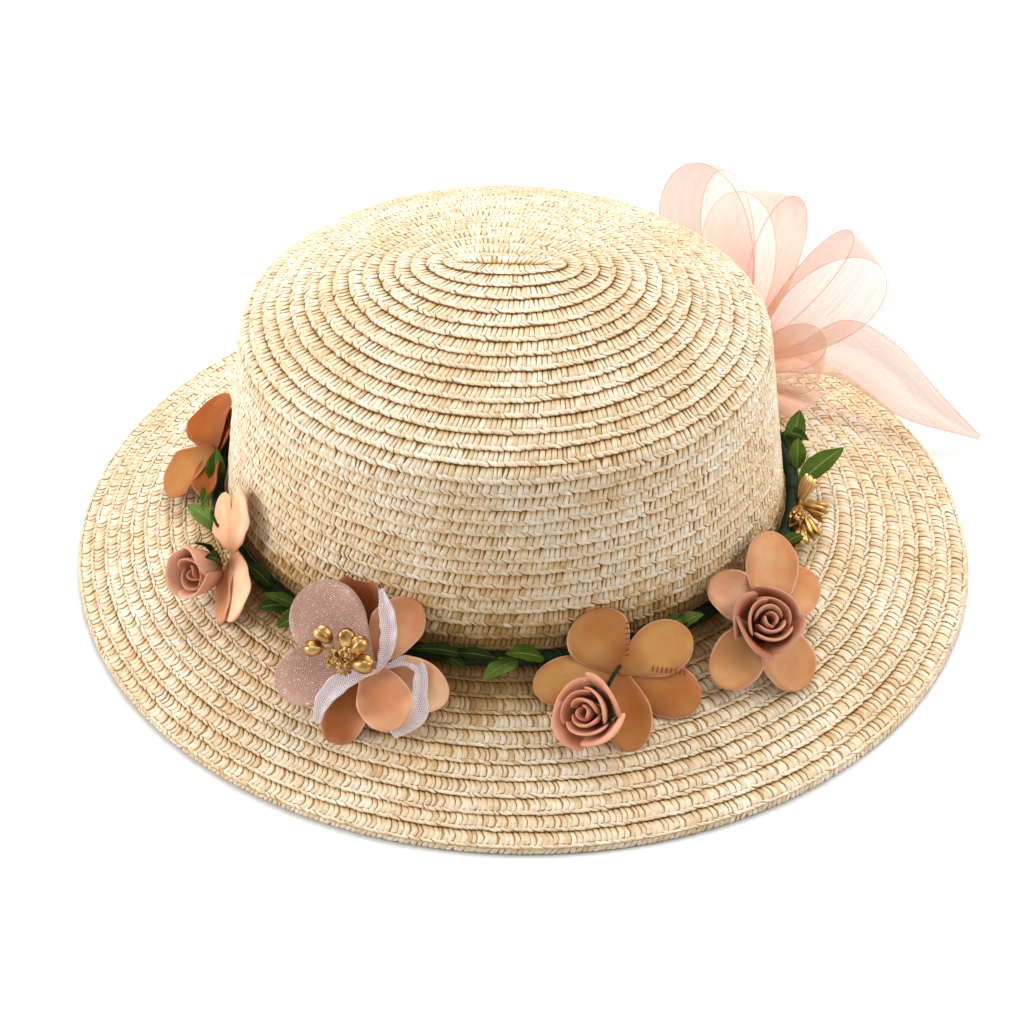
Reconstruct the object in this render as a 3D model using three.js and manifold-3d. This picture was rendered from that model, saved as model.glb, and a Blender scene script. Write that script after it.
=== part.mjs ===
// Wide-brim straw hat with a garland of foam flowers and an organza bow.
// Millimetres, +Z up. The rim of the brim rests on the plane z = 0, and +X runs along the oval's length.
// Every ring of the straw is an oval: a circle of some radius, lengthened by the seam in the tip.
import * as THREE from "three";
import { mergeVertices } from "three/addons/utils/BufferGeometryUtils.js";
import Module from "manifold-3d";

const wasm = await Module();
wasm.setup();

// Straw body
const SEAM_HALF = 15.9; // half the straight seam that the braid is coiled round
const TIP_RADIUS = 73.65; // short half width of the tip at its crease
const CREASE_HEIGHT = 109.8;
const DOME_RISE = 27.5; // the tip's middle over its crease
const DOME_POWER = 1.8;
const SHOULDER_RADIUS = 8.75;
const WALL_ANGLE = THREE.MathUtils.degToRad(84.56); // steepness of the crown's wall
const FOOT_HEIGHT = 28; // where the wall's line meets the brim's line
const TURN_RISE = 4; // the brim's collar stands this far up the wall
const BRIM_WIDTH = 61.6; // seen from above, wall foot to rim
const CROWN_SHIFT = new THREE.Vector2(-6.9, 4.4); // crown's middle from the brim's middle
const STRAW = 2; // thickness of the sewn straw
const ROW_STEP = 0.8; // each braid row's lower edge stands over the next row
const CROWN_ROWS = 28;
const BRIM_ROWS = 12;
const ROUND = 28; // facets round each oval
const GAP = 0.3; // clear space between pieces that meet

// Garland
const STEM_RADIUS = 2.6;
const STEM_OUT = 3.6; // stem's centre line from the wall's foot line
const STEM_HEIGHT = 31.7;
const STEM_SIDES = 5;
const FOAM = 1.2; // thickness of a foam petal
const LEAF = 0.9; // thickness of a cloth leaf
const GAUZE = 1;
const STALK_RADIUS = 1.5;
const EYE_RADIUS = 3.6; // knob that a flower's petals grow from

// Bow
const RIBBON = 1; // thickness given to the organza
const KNOT = { turn: 38, height: 42, out: 6.2, radius: 7.2 };
const BOW_LEAN = 44; // degrees that the fan of loops leans back from upright
const KNOT_CLEAR = 0.5;
const LOOP_STEPS = 12;
const LOOP_ROUNDNESS = 0.6;

// Colours
const STRAW_CREAM = 0xe6cfa4;
const STEM_GREEN = 0x24361c;
const LEAF_GREEN = 0x4c7a2e;
const DARK_LEAF = 0x2c4a20;
const ORANGE_FOAM = 0xb96a33;
const PEACH_FOAM = 0xdfa988;
const TAN_FOAM = 0xc98f62;
const SALMON_FOAM = 0xc87a66;
const ROSE_FOAM = 0xa96a58;
const GAUZE_PINK = 0xd9b9b6;
const GOLD = 0xc9982f;
const ORGANZA = 0xf6d3c4;

const degrees = THREE.MathUtils.degToRad;

const hat = new THREE.Group();
hat.name = "straw_hat";

// One closed mesh from corner points and triangles: doubles merged, slivers dropped, faces turned outwards.
function closedGeometry(points, faces) {
  const loose = new THREE.BufferGeometry();
  const flat = points.flatMap((p) => [p.x, p.y, p.z]);
  loose.setAttribute("position", new THREE.Float32BufferAttribute(flat, 3));
  loose.setIndex(faces.flat());
  const merged = mergeVertices(loose, 1e-3);
  const index = merged.getIndex().array;
  const kept = [];
  for (let i = 0; i < index.length; i += 3) {
    const [a, b, c] = [index[i], index[i + 1], index[i + 2]];
    if (a !== b && b !== c && c !== a) kept.push([a, b, c]);
  }
  const corner = (i) => new THREE.Vector3().fromBufferAttribute(merged.getAttribute("position"), i);
  let volume = 0;
  for (const [a, b, c] of kept) volume += corner(a).dot(corner(b).cross(corner(c)));
  merged.setIndex((volume < 0 ? kept.map(([a, b, c]) => [a, c, b]) : kept).flat());
  return merged;
}

function addMesh(name, geometry, color, roughness = 0.85, metalness = 0) {
  const mesh = new THREE.Mesh(geometry, new THREE.MeshStandardMaterial({ color, roughness, metalness }));
  mesh.name = name;
  hat.add(mesh);
  return mesh;
}

// Solids joined into one body.
function joined(geometries) {
  let whole = null;
  for (const geometry of geometries) {
    const mesh = new wasm.Mesh({
      numProp: 3,
      vertProperties: new Float32Array(geometry.getAttribute("position").array),
      triVerts: new Uint32Array(geometry.getIndex().array),
    });
    const solid = new wasm.Manifold(mesh);
    whole = whole ? whole.add(solid) : solid;
  }
  const { vertProperties, triVerts } = whole.getMesh();
  const result = new THREE.BufferGeometry();
  result.setAttribute("position", new THREE.BufferAttribute(vertProperties, 3));
  result.setIndex(new THREE.BufferAttribute(triVerts, 1));
  return result;
}

// A geometry class's mesh as position and index only, so that it can be joined.
function bare(geometry) {
  geometry.deleteAttribute("normal");
  geometry.deleteAttribute("uv");
  return mergeVertices(geometry, 1e-3);
}

// A sheet given by a function of two shares from 0 to 1, thickened evenly to both sides of it.
function sheetGeometry(surface, alongSteps, acrossSteps, thickness) {
  const points = [];
  const nudge = 1e-3;
  for (const side of [0.5, -0.5]) {
    for (let i = 0; i <= alongSteps; i++) {
      for (let j = 0; j <= acrossSteps; j++) {
        const along = i / alongSteps;
        const across = j / acrossSteps;
        const inner = Math.min(Math.max(along, 0.02), 0.98);
        const slopeAlong = surface(inner + nudge, across).sub(surface(inner - nudge, across));
        const slopeAcross = surface(inner, across + nudge).sub(surface(inner, across - nudge));
        const normal = slopeAlong.cross(slopeAcross).normalize();
        points.push(surface(along, across).addScaledVector(normal, side * thickness));
      }
    }
  }
  const row = acrossSteps + 1;
  const layer = row * (alongSteps + 1);
  const faces = [];
  const quad = (a, b, c, d) => faces.push([a, b, c], [a, c, d]);
  for (let i = 0; i < alongSteps; i++) {
    for (let j = 0; j < acrossSteps; j++) {
      const a = i * row + j;
      quad(a, a + row, a + row + 1, a + 1);
      quad(layer + a, layer + a + 1, layer + a + row + 1, layer + a + row);
    }
  }
  for (let i = 0; i < alongSteps; i++) {
    const a = i * row;
    const b = a + acrossSteps;
    quad(a + row, a, layer + a, layer + a + row);
    quad(b, b + row, layer + b + row, layer + b);
  }
  for (let j = 0; j < acrossSteps; j++) {
    const b = alongSteps * row + j;
    quad(j, j + 1, layer + j + 1, layer + j);
    quad(b + 1, b, layer + b, layer + b + 1);
  }
  return closedGeometry(points, faces);
}

// A list of radius and height pairs carried round the oval. Closed lists make a ring.
// Open lists start and end on the seam, where the two sides of the oval meet.
function ovalGeometry(profile, closedList, middleX, middleY) {
  const points = [];
  const faces = [];
  for (let k = 0; k < ROUND; k++) {
    const turn = (2 * Math.PI * k) / ROUND;
    for (const { x: radius, y: height } of profile) {
      const x = (radius + SEAM_HALF) * Math.cos(turn) + middleX(height);
      points.push(new THREE.Vector3(x, radius * Math.sin(turn) + middleY(height), height));
    }
  }
  const count = profile.length;
  const strips = closedList ? count : count - 1;
  for (let k = 0; k < ROUND; k++) {
    const here = k * count;
    const next = ((k + 1) % ROUND) * count;
    for (let i = 0; i < strips; i++) {
      const j = (i + 1) % count;
      faces.push([here + i, here + j, next + j], [here + i, next + j, next + i]);
    }
  }
  return closedGeometry(points, faces);
}

// The crown's line from the middle of the tip, over the crease and down the wall.
const domeHeight = (radius) => CREASE_HEIGHT + DOME_RISE * (1 - (radius / TIP_RADIUS) ** DOME_POWER);
const creaseSlope = Math.atan((DOME_RISE * DOME_POWER) / TIP_RADIUS);
const shoulderEnd = new THREE.Vector2(
  TIP_RADIUS + SHOULDER_RADIUS * (Math.sin(WALL_ANGLE) - Math.sin(creaseSlope)),
  CREASE_HEIGHT - SHOULDER_RADIUS * (Math.cos(creaseSlope) - Math.cos(WALL_ANGLE)),
);
const wallRadius = (height) => shoulderEnd.x + (shoulderEnd.y - height) / Math.tan(WALL_ANGLE);
const FOOT_RADIUS = wallRadius(FOOT_HEIGHT);
const COLLAR_HEIGHT = FOOT_HEIGHT + TURN_RISE;
const RIM_RADIUS = FOOT_RADIUS + BRIM_WIDTH;

function crownLine() {
  const points = [];
  const domeSteps = 14;
  for (let i = 0; i <= domeSteps; i++) {
    const radius = (TIP_RADIUS * i) / domeSteps;
    points.push(new THREE.Vector2(radius, domeHeight(radius)));
  }
  const shoulderSteps = 4;
  for (let i = 1; i <= shoulderSteps; i++) {
    const angle = creaseSlope + ((WALL_ANGLE - creaseSlope) * i) / shoulderSteps;
    points.push(new THREE.Vector2(
      TIP_RADIUS + SHOULDER_RADIUS * (Math.sin(angle) - Math.sin(creaseSlope)),
      CREASE_HEIGHT - SHOULDER_RADIUS * (Math.cos(creaseSlope) - Math.cos(angle)),
    ));
  }
  const wallSteps = 12;
  for (let i = 1; i <= wallSteps; i++) {
    const height = shoulderEnd.y + ((COLLAR_HEIGHT - shoulderEnd.y) * i) / wallSteps;
    points.push(new THREE.Vector2(wallRadius(height), height));
  }
  return new THREE.SplineCurve(points);
}

// The brim's line from the collar's top, through the turn and down the slope to the rim.
function brimLine() {
  const slope = (radius) => STRAW + (FOOT_HEIGHT - STRAW) * ((RIM_RADIUS - radius) / BRIM_WIDTH);
  const points = [
    new THREE.Vector2(wallRadius(COLLAR_HEIGHT - GAP), COLLAR_HEIGHT - GAP),
    new THREE.Vector2(FOOT_RADIUS + 0.9, FOOT_HEIGHT + 0.9),
  ];
  const slopeSteps = 12;
  const turnEnd = FOOT_RADIUS + TURN_RISE;
  for (let i = 0; i <= slopeSteps; i++) {
    const radius = turnEnd + ((RIM_RADIUS - turnEnd) * i) / slopeSteps;
    points.push(new THREE.Vector2(radius, slope(radius)));
  }
  return new THREE.SplineCurve(points);
}

// A point of a line, moved square to it by lift: outwards when lift is positive.
function liftedPoint(line, share, lift) {
  const tangent = line.getTangentAt(share);
  return line.getPointAt(share).add(new THREE.Vector2(-tangent.y, tangent.x).multiplyScalar(lift));
}

// The outside of sewn braid: every row starts tucked under the last one and ends standing over the next.
function sewnRows(line, rows) {
  const points = [];
  for (let row = 0; row < rows; row++) {
    points.push(liftedPoint(line, row / rows, 0));
    points.push(liftedPoint(line, (row + 1) / rows, ROW_STEP));
  }
  return points;
}

// The inside, one straw thickness in, read back from the line's end to its start.
function insideLine(line, steps) {
  const points = [];
  for (let i = steps; i >= 0; i--) points.push(liftedPoint(line, i / steps, -STRAW));
  return points;
}

const crownMiddleX = () => CROWN_SHIFT.x;
const crownMiddleY = () => CROWN_SHIFT.y;

// The brim's rings move from the crown's middle to the brim's own as they go down.
const brimShare = (height) => THREE.MathUtils.clamp(height / FOOT_HEIGHT, 0, 1);
const brimMiddleX = (height) => CROWN_SHIFT.x * brimShare(height);
const brimMiddleY = (height) => CROWN_SHIFT.y * brimShare(height);

function addCrown() {
  const line = crownLine();
  const outside = sewnRows(line, CROWN_ROWS);
  outside[0].x = 0;
  const foot = outside[outside.length - 1];
  foot.y = COLLAR_HEIGHT;
  const insideSteps = 6;
  const inside = insideLine(line, insideSteps);
  inside[0].y = COLLAR_HEIGHT;
  inside[insideSteps].x = 0;
  addMesh("crown", ovalGeometry([...outside, ...inside], false, crownMiddleX, crownMiddleY), STRAW_CREAM);
}

function addBrim() {
  const line = brimLine();
  const outside = sewnRows(line, BRIM_ROWS);
  const top = COLLAR_HEIGHT - GAP;
  outside[0].y = top;
  const insideSteps = 4;
  const inside = insideLine(line, insideSteps).slice(1);
  const collarInside = inside[inside.length - 1];
  collarInside.y = top;
  const rim = [
    new THREE.Vector2(RIM_RADIUS + ROW_STEP, STRAW / 2),
    new THREE.Vector2(RIM_RADIUS, 0),
    new THREE.Vector2(RIM_RADIUS - 2 * STRAW, 0),
  ];
  const profile = [...outside, ...rim, ...inside];
  addMesh("brim", ovalGeometry(profile, true, brimMiddleX, brimMiddleY), STRAW_CREAM);
}

// Places on the hat are read by turn, the oval's angle in degrees, and by how far out from the wall's foot.
function besideWall(turn, out, height) {
  const angle = degrees(turn);
  const radius = FOOT_RADIUS + out;
  return new THREE.Vector3(
    (radius + SEAM_HALF) * Math.cos(angle) + CROWN_SHIFT.x,
    radius * Math.sin(angle) + CROWN_SHIFT.y,
    height,
  );
}

// Outward direction of the oval at a turn, level with the ground.
function outward(turn) {
  const angle = degrees(turn);
  const radius = FOOT_RADIUS;
  return new THREE.Vector3(radius * Math.cos(angle), (radius + SEAM_HALF) * Math.sin(angle), 0).normalize();
}

// The three axes of a flower: across to the right, up its face, and out of its face.
function faceAxes(compass, climb) {
  const side = new THREE.Vector3(-Math.sin(degrees(compass)), Math.cos(degrees(compass)), 0);
  const face = new THREE.Vector3(
    Math.cos(degrees(climb)) * Math.cos(degrees(compass)),
    Math.cos(degrees(climb)) * Math.sin(degrees(compass)),
    Math.sin(degrees(climb)),
  );
  return { side, rise: new THREE.Vector3().crossVectors(face, side), face };
}

// A petal: a spoon that leaves the flower's middle, widens, and closes round. Tilt lifts its tip off the
// flower's face, cup raises its two edges, and curl bends its tip.
function petalGeometry(flower, petal, thickness) {
  const { side, rise, face } = faceAxes(flower.compass, flower.climb);
  const heading = degrees(petal.heading);
  const ahead = side.clone().multiplyScalar(Math.cos(heading)).addScaledVector(rise, Math.sin(heading));
  const across = new THREE.Vector3().crossVectors(face, ahead);
  const swell = (v) => Math.sin(Math.PI * Math.min(v, 1) ** 1.5) ** 0.75;
  const widthAt = (v) => petal.width * Math.max(swell(v), PETAL_NECK * (1 - v));
  return sheetGeometry((v, u) => {
    const reach = PETAL_START + (petal.length - PETAL_START) * v;
    const offset = (u - 0.5) * widthAt(v);
    const edge = (2 * u - 1) ** 2;
    const climb = petal.sink + Math.tan(degrees(petal.tilt)) * reach;
    const lift = climb + petal.cup * edge * Math.sin(Math.PI * v) + petal.curl * v * v;
    return flower.middle.clone().addScaledVector(ahead, reach).addScaledVector(across, offset)
      .addScaledVector(face, lift);
  }, PETAL_LENGTHS, PETAL_WIDTHS, thickness);
}

// A straight round stalk between two points.
function stalkGeometry(from, to, radius) {
  const stalk = new THREE.CylinderGeometry(radius, radius, from.distanceTo(to), STEM_SIDES);
  const direction = to.clone().sub(from).normalize();
  stalk.applyQuaternion(new THREE.Quaternion().setFromUnitVectors(new THREE.Vector3(0, 1, 0), direction));
  stalk.translate((from.x + to.x) / 2, (from.y + to.y) / 2, (from.z + to.z) / 2);
  return bare(stalk);
}

// Where a flower's stalk meets the garland's stem: just clear of the stem's skin, on the flower's side.
function stemSeat(turn, towards) {
  const core = besideWall(turn, STEM_OUT, STEM_HEIGHT);
  const way = towards.clone().sub(core).normalize();
  return core.addScaledVector(way, STEM_RADIUS + GAP);
}

const FLOWERS = [
  { name: "flower_1", turn: 174, out: 6.5, height: 37, compass: 185, climb: 50, color: ORANGE_FOAM },
  { name: "flower_2", turn: -151.2, out: 8, height: 38.8, compass: 200, climb: 20, color: PEACH_FOAM },
  { name: "flower_3", turn: -112.5, out: 16.5, height: 33.5, compass: -105, climb: 48, color: PEACH_FOAM },
  { name: "flower_4", turn: -68.2, out: 14, height: 31.5, compass: -80, climb: 48, color: TAN_FOAM },
  { name: "flower_5", turn: -39.2, out: 20, height: 30.5, compass: -50, climb: 55, color: TAN_FOAM },
];
for (const flower of FLOWERS) flower.middle = besideWall(flower.turn, flower.out, flower.height);

// heading turns from the flower's right side to its top.
// sink sets a petal behind (-) or before (+) the face.
const PETALS = [
  { flower: 0, heading: 197, length: 27, width: 19, tilt: 4, cup: 3, curl: 0, sink: 0 },
  { flower: 0, heading: 145, length: 21, width: 16, tilt: 6, cup: 3, curl: 0, sink: 0 },
  { flower: 0, heading: 268, length: 20, width: 17, tilt: 2, cup: 3, curl: 0, sink: -1 },
  { flower: 0, heading: 340, length: 23, width: 11, tilt: 6, cup: 4, curl: 2, sink: 0 },
  { flower: 1, heading: 105, length: 27, width: 16, tilt: 4, cup: 3, curl: 0, sink: 0 },
  { flower: 1, heading: 168, length: 21, width: 14, tilt: 6, cup: 3, curl: 0, sink: 0 },
  { flower: 1, heading: -31, length: 24, width: 16, tilt: 4, cup: 3, curl: 0, sink: 0 },
  { flower: 1, heading: -48, length: 24, width: 12, tilt: 12, cup: 2, curl: 0, sink: -1 },
  { flower: 2, heading: 114, length: 32, width: 21, tilt: 7, cup: 4, curl: 0, sink: -1 },
  { flower: 2, heading: 141, length: 32, width: 21, tilt: 8, cup: 4, curl: 0, sink: 0 },
  { flower: 2, heading: 62, length: 28, width: 17, tilt: 6, cup: 4, curl: 0, sink: -1 },
  { flower: 2, heading: -12, length: 31, width: 17, tilt: 3, cup: 3, curl: 0, sink: 0 },
  { flower: 2, heading: -50, length: 26, width: 18, tilt: 6, cup: 3, curl: 0, sink: 0 },
  { flower: 2, heading: -103, length: 31, width: 16, tilt: 2, cup: 3, curl: 0, sink: -1 },
  { flower: 2, heading: -152, length: 30, width: 17, tilt: 6, cup: 3, curl: 0, sink: -1 },
  { flower: 3, heading: 117, length: 23, width: 22, tilt: 9, cup: 3, curl: 0, sink: 0 },
  { flower: 3, heading: 20, length: 28, width: 18, tilt: 6, cup: 3, curl: 0, sink: 0 },
  { flower: 3, heading: -29, length: 31, width: 18, tilt: 4, cup: 3, curl: 0, sink: -1 },
  { flower: 3, heading: -88, length: 29, width: 17, tilt: 10, cup: 2, curl: 0, sink: -1 },
  { flower: 3, heading: 187, length: 31, width: 17, tilt: 3, cup: 3, curl: 0, sink: -1 },
  { flower: 4, heading: 53, length: 33, width: 19, tilt: 4, cup: 3, curl: 0, sink: 0 },
  { flower: 4, heading: 116, length: 25, width: 17, tilt: 5, cup: 3, curl: 0, sink: 0 },
  { flower: 4, heading: 12, length: 28, width: 16, tilt: 4, cup: 3, curl: 0, sink: 0 },
  { flower: 4, heading: -160, length: 31, width: 19, tilt: 2, cup: 3, curl: 0, sink: 0 },
  { flower: 4, heading: -92, length: 27, width: 20, tilt: 2, cup: 3, curl: 0, sink: 0 },
];
const PETAL_START = -2; // petals cross the flower's middle by this much
const PETAL_NECK = 0.24; // share of its width that a petal has where it starts
const PETAL_LENGTHS = 3; // facets along a petal and across it
const PETAL_WIDTHS = 2;

function addPetals() {
  FLOWERS.forEach((flower, number) => {
    const solids = PETALS.filter((petal) => petal.flower === number)
      .map((petal) => petalGeometry(flower, petal, FOAM));
    const top = inFlower(flower, 0, 0, FOAM);
    solids.push(stalkGeometry(top, stemSeat(flower.turn, flower.middle), STALK_RADIUS));
    solids.push(sphereAt(flower.middle, EYE_RADIUS));
    addMesh(`${flower.name}_petals`, joined(solids), flower.color);
  });
}

// A rose: rolled foam walls, one inside the other, on a closed base. Each wall's lip wanders a little.
function roseGeometry(middle, axes, radius, height) {
  const wallAt = (share, rise) => ({ radius: radius * share, rise: height * rise });
  const profile = [
    wallAt(0, 0), wallAt(0.45, 0), wallAt(0.85, 0.4), wallAt(1, 0.92), wallAt(0.9, 0.94), wallAt(0.72, 0.5),
    wallAt(0.7, 0.96), wallAt(0.6, 0.98), wallAt(0.44, 0.55), wallAt(0.42, 0.98), wallAt(0.32, 1),
    wallAt(0.2, 0.6), wallAt(0.14, 1), wallAt(0, 1.02),
  ];
  const sides = 9;
  const lobes = 3;
  const points = [];
  const faces = [];
  for (let k = 0; k < sides; k++) {
    profile.forEach((ring, level) => {
      const turn = (2 * Math.PI * k) / sides;
      const wander = 1 + 0.05 * Math.sin(lobes * turn + level);
      const reach = ring.radius * wander;
      points.push(middle.clone().addScaledVector(axes.side, reach * Math.cos(turn))
        .addScaledVector(axes.rise, reach * Math.sin(turn)).addScaledVector(axes.face, ring.rise));
    });
  }
  const count = profile.length;
  for (let k = 0; k < sides; k++) {
    const here = k * count;
    const next = ((k + 1) % sides) * count;
    for (let i = 0; i < count - 1; i++) {
      faces.push([here + i, here + i + 1, next + i + 1], [here + i, next + i + 1, next + i]);
    }
  }
  return closedGeometry(points, faces);
}

// A place in a flower's own axes.
function inFlower(flower, right, up, before) {
  const { side, rise, face } = faceAxes(flower.compass, flower.climb);
  return flower.middle.clone().addScaledVector(side, right).addScaledVector(rise, up)
    .addScaledVector(face, before);
}

// The two roses and the bud, each by the middle of its base and the way it faces.
const ROSES = [
  { name: "flower_2_bud", turn: -152.6, out: 15.3, height: 30, compass: 215, climb: 30 },
  { name: "flower_4_rose", turn: -74.3, out: 26.9, height: 24, compass: -112, climb: 50 },
  { name: "flower_5_rose", turn: -41.2, out: 22.9, height: 33.6, compass: -55, climb: 60 },
];
const ROSE_SIZES = {
  flower_2_bud: { radius: 9, tall: 15 },
  flower_4_rose: { radius: 12, tall: 10 },
  flower_5_rose: { radius: 12, tall: 9.5 },
};
for (const rose of ROSES) Object.assign(rose, ROSE_SIZES[rose.name]);

function addRoses() {
  for (const rose of ROSES) {
    const base = besideWall(rose.turn, rose.out, rose.height);
    const geometry = roseGeometry(base, faceAxes(rose.compass, rose.climb), rose.radius, rose.tall);
    const color = rose.name === "flower_5_rose" ? ROSE_FOAM : SALMON_FOAM;
    addMesh(rose.name, geometry, color);
  }
}

// Gauze of the third flower: two folded wings and a low lobe that rise from one twist beside its middle.
const GAUZE_WINGS = [
  { heading: 92, length: 26, width: 8, tilt: 40, cup: 2, curl: 0, sink: 4 },
  { heading: 234, length: 30, width: 9, tilt: 20, cup: 2, curl: 0, sink: 4 },
  { heading: -38, length: 26, width: 9, tilt: 22, cup: 2, curl: 0, sink: 4 },
];

function addGauze() {
  const flower = { ...FLOWERS[2], middle: inFlower(FLOWERS[2], 5, -1, 1.3) };
  const solids = GAUZE_WINGS.map((wing) => petalGeometry(flower, wing, GAUZE));
  addMesh("flower_3_gauze", joined(solids), GAUZE_PINK);
}

// Gold pearls on a short stem, right and up in the flower's axes, before its face.
const PEARLS = [
  { right: -14.5, up: 5, before: 14, radius: 2.7 },
  { right: -16.5, up: -0.5, before: 13.5, radius: 2.6 },
  { right: -4.5, up: 4, before: 14.5, radius: 3 },
  { right: -2.5, up: -2.5, before: 13.5, radius: 2.8 },
  { right: -9.5, up: -5.5, before: 13, radius: 3.4 },
  { right: -9, up: 1, before: 13.5, radius: 3.4 },
];

function sphereAt(middle, radius) {
  const ball = new THREE.SphereGeometry(radius, 6, 4);
  ball.translate(middle.x, middle.y, middle.z);
  return bare(ball);
}

function addStamens() {
  const flower = FLOWERS[2];
  const placeOf = (pearl) => inFlower(flower, pearl.right, pearl.up, pearl.before);
  const solids = PEARLS.map((pearl) => sphereAt(placeOf(pearl), pearl.radius));
  const heart = inFlower(flower, -9, 0, 13);
  solids.push(stalkGeometry(inFlower(flower, -3, -1, 3.6), heart, STALK_RADIUS));
  for (const pearl of PEARLS) {
    solids.push(stalkGeometry(heart, placeOf(pearl), STALK_RADIUS / 2));
  }
  addMesh("flower_3_stamens", joined(solids), GOLD, 0.35, 1);
}

// Gold seed pods on the right: a sprig of long drops that leaves the stem.
const PODS = [
  { turn: -3, out: 11, height: 35, length: 11, radius: 2.6 },
  { turn: -7, out: 14, height: 32, length: 12, radius: 2.7 },
  { turn: -11.5, out: 13.5, height: 30, length: 12, radius: 2.6 },
  { turn: -10.5, out: 9, height: 35, length: 12, radius: 2.4 },
];

function addPods() {
  const root = stemSeat(-5, besideWall(-6, 13, 36));
  const solids = [];
  for (const pod of PODS) {
    const tip = besideWall(pod.turn, pod.out, pod.height);
    const way = tip.clone().sub(root).normalize();
    const drop = new THREE.SphereGeometry(1, 6, 4);
    drop.scale(pod.radius, pod.length / 2, pod.radius);
    drop.applyQuaternion(new THREE.Quaternion().setFromUnitVectors(new THREE.Vector3(0, 1, 0), way));
    drop.translate(tip.x, tip.y, tip.z);
    solids.push(bare(drop), stalkGeometry(root, tip, STALK_RADIUS / 2));
  }
  addMesh("gold_pods", joined(solids), GOLD, 0.35, 1);
}

// The garland's taped stem, a ring that lies in the corner of wall and brim.
function addStem() {
  const section = [];
  for (let i = 0; i < STEM_SIDES; i++) {
    const angle = (2 * Math.PI * i) / STEM_SIDES;
    section.push(new THREE.Vector2(
      FOOT_RADIUS + STEM_OUT + STEM_RADIUS * Math.cos(angle),
      STEM_HEIGHT + STEM_RADIUS * Math.sin(angle),
    ));
  }
  addMesh("garland_stem", ovalGeometry(section, true, crownMiddleX, crownMiddleY), STEM_GREEN);
}

// Leaves leave the stem at a turn. heading 0 runs on round the hat and 90 straight out.
// climb lifts the tip.
const LEAVES = [
  { turn: -176.5, heading: 186, climb: 60, length: 13, width: 6, color: LEAF_GREEN, seat: 75 },
  { turn: -176, heading: 14, climb: 18, length: 15, width: 5, color: LEAF_GREEN },
  { turn: -161, heading: 156, climb: 4, length: 19, width: 9, color: LEAF_GREEN },
  { turn: -131, heading: 161, climb: 18, length: 15, width: 5, color: LEAF_GREEN },
  { turn: -133, heading: 138, climb: 0, length: 13, width: 9, color: DARK_LEAF },
  { turn: -129, heading: 112, climb: 6, length: 13, width: 9, color: LEAF_GREEN },
  { turn: -101, heading: 24, climb: 2, length: 12, width: 5, color: DARK_LEAF },
  { turn: -86, heading: 143, climb: 4, length: 16, width: 7.5, color: LEAF_GREEN },
  { turn: -81, heading: 176, climb: 22, length: 15, width: 8, color: DARK_LEAF },
  { turn: -63, heading: 4, climb: 42, length: 11, width: 5, color: DARK_LEAF },
  { turn: -54, heading: 12, climb: 26, length: 11, width: 6, color: LEAF_GREEN },
  { turn: -58, heading: 44, climb: 2, length: 12, width: 6, color: DARK_LEAF },
  { turn: 12, heading: 24, climb: 18, length: 18, width: 7, color: LEAF_GREEN },
  { turn: 6, heading: 8, climb: 34, length: 12, width: 6, color: LEAF_GREEN },
  { turn: 1, heading: 48, climb: 12, length: 23, width: 9, color: LEAF_GREEN },
  { turn: -20, heading: 30, climb: 6, length: 10, width: 5, color: LEAF_GREEN },
];
const LEAF_FOLD = 0.9; // a leaf's edges rise over its midrib
const LEAF_BLUNT = 0.14; // width of a leaf's two ends, as a share of its own
const LEAF_LENGTHS = 3; // facets along a leaf
const LEAF_SEAT = 35; // degrees: leaves leave the stem's skin this far over its outer side

function addLeaves() {
  LEAVES.forEach((leaf, number) => {
    const out = outward(leaf.turn);
    const on = new THREE.Vector3(-out.y, out.x, 0);
    const heading = degrees(leaf.heading);
    const level = on.multiplyScalar(Math.cos(heading)).addScaledVector(out, Math.sin(heading));
    const ahead = level.clone().multiplyScalar(Math.cos(degrees(leaf.climb)))
      .add(new THREE.Vector3(0, 0, Math.sin(degrees(leaf.climb))));
    const across = new THREE.Vector3(-level.y, level.x, 0);
    const top = new THREE.Vector3().crossVectors(ahead, across);
    const core = besideWall(leaf.turn, STEM_OUT, STEM_HEIGHT);
    const over = degrees(leaf.seat ?? LEAF_SEAT);
    const seat = out.clone().multiplyScalar(Math.cos(over)).add(new THREE.Vector3(0, 0, Math.sin(over)));
    const root = core.addScaledVector(seat, STEM_RADIUS + GAP);
    const blade = sheetGeometry((v, u) => {
      const bulge = Math.sin(Math.PI * v);
      const width = leaf.width * (LEAF_BLUNT + (1 - LEAF_BLUNT) * bulge);
      return root.clone().addScaledVector(ahead, leaf.length * v).addScaledVector(across, (u - 0.5) * width)
        .addScaledVector(top, LEAF_FOLD * Math.abs(2 * u - 1) * bulge);
    }, LEAF_LENGTHS, 2, LEAF);
    addMesh(`leaf_${String(number + 1).padStart(2, "0")}`, blade, leaf.color);
  });
}

// The bow's own axes at its knot: across to the right, up the fan, and fore, out of the fan.
const fan = {
  middle: besideWall(KNOT.turn, KNOT.out, KNOT.height),
  right: new THREE.Vector3(1, 0, 0),
  up: new THREE.Vector3(0, Math.sin(degrees(BOW_LEAN)), Math.cos(degrees(BOW_LEAN))),
  fore: new THREE.Vector3(0, -Math.cos(degrees(BOW_LEAN)), Math.sin(degrees(BOW_LEAN))),
};
const inFan = (right, up, fore) => new THREE.Vector3().addScaledVector(fan.right, right)
  .addScaledVector(fan.up, up).addScaledVector(fan.fore, fore);

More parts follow.
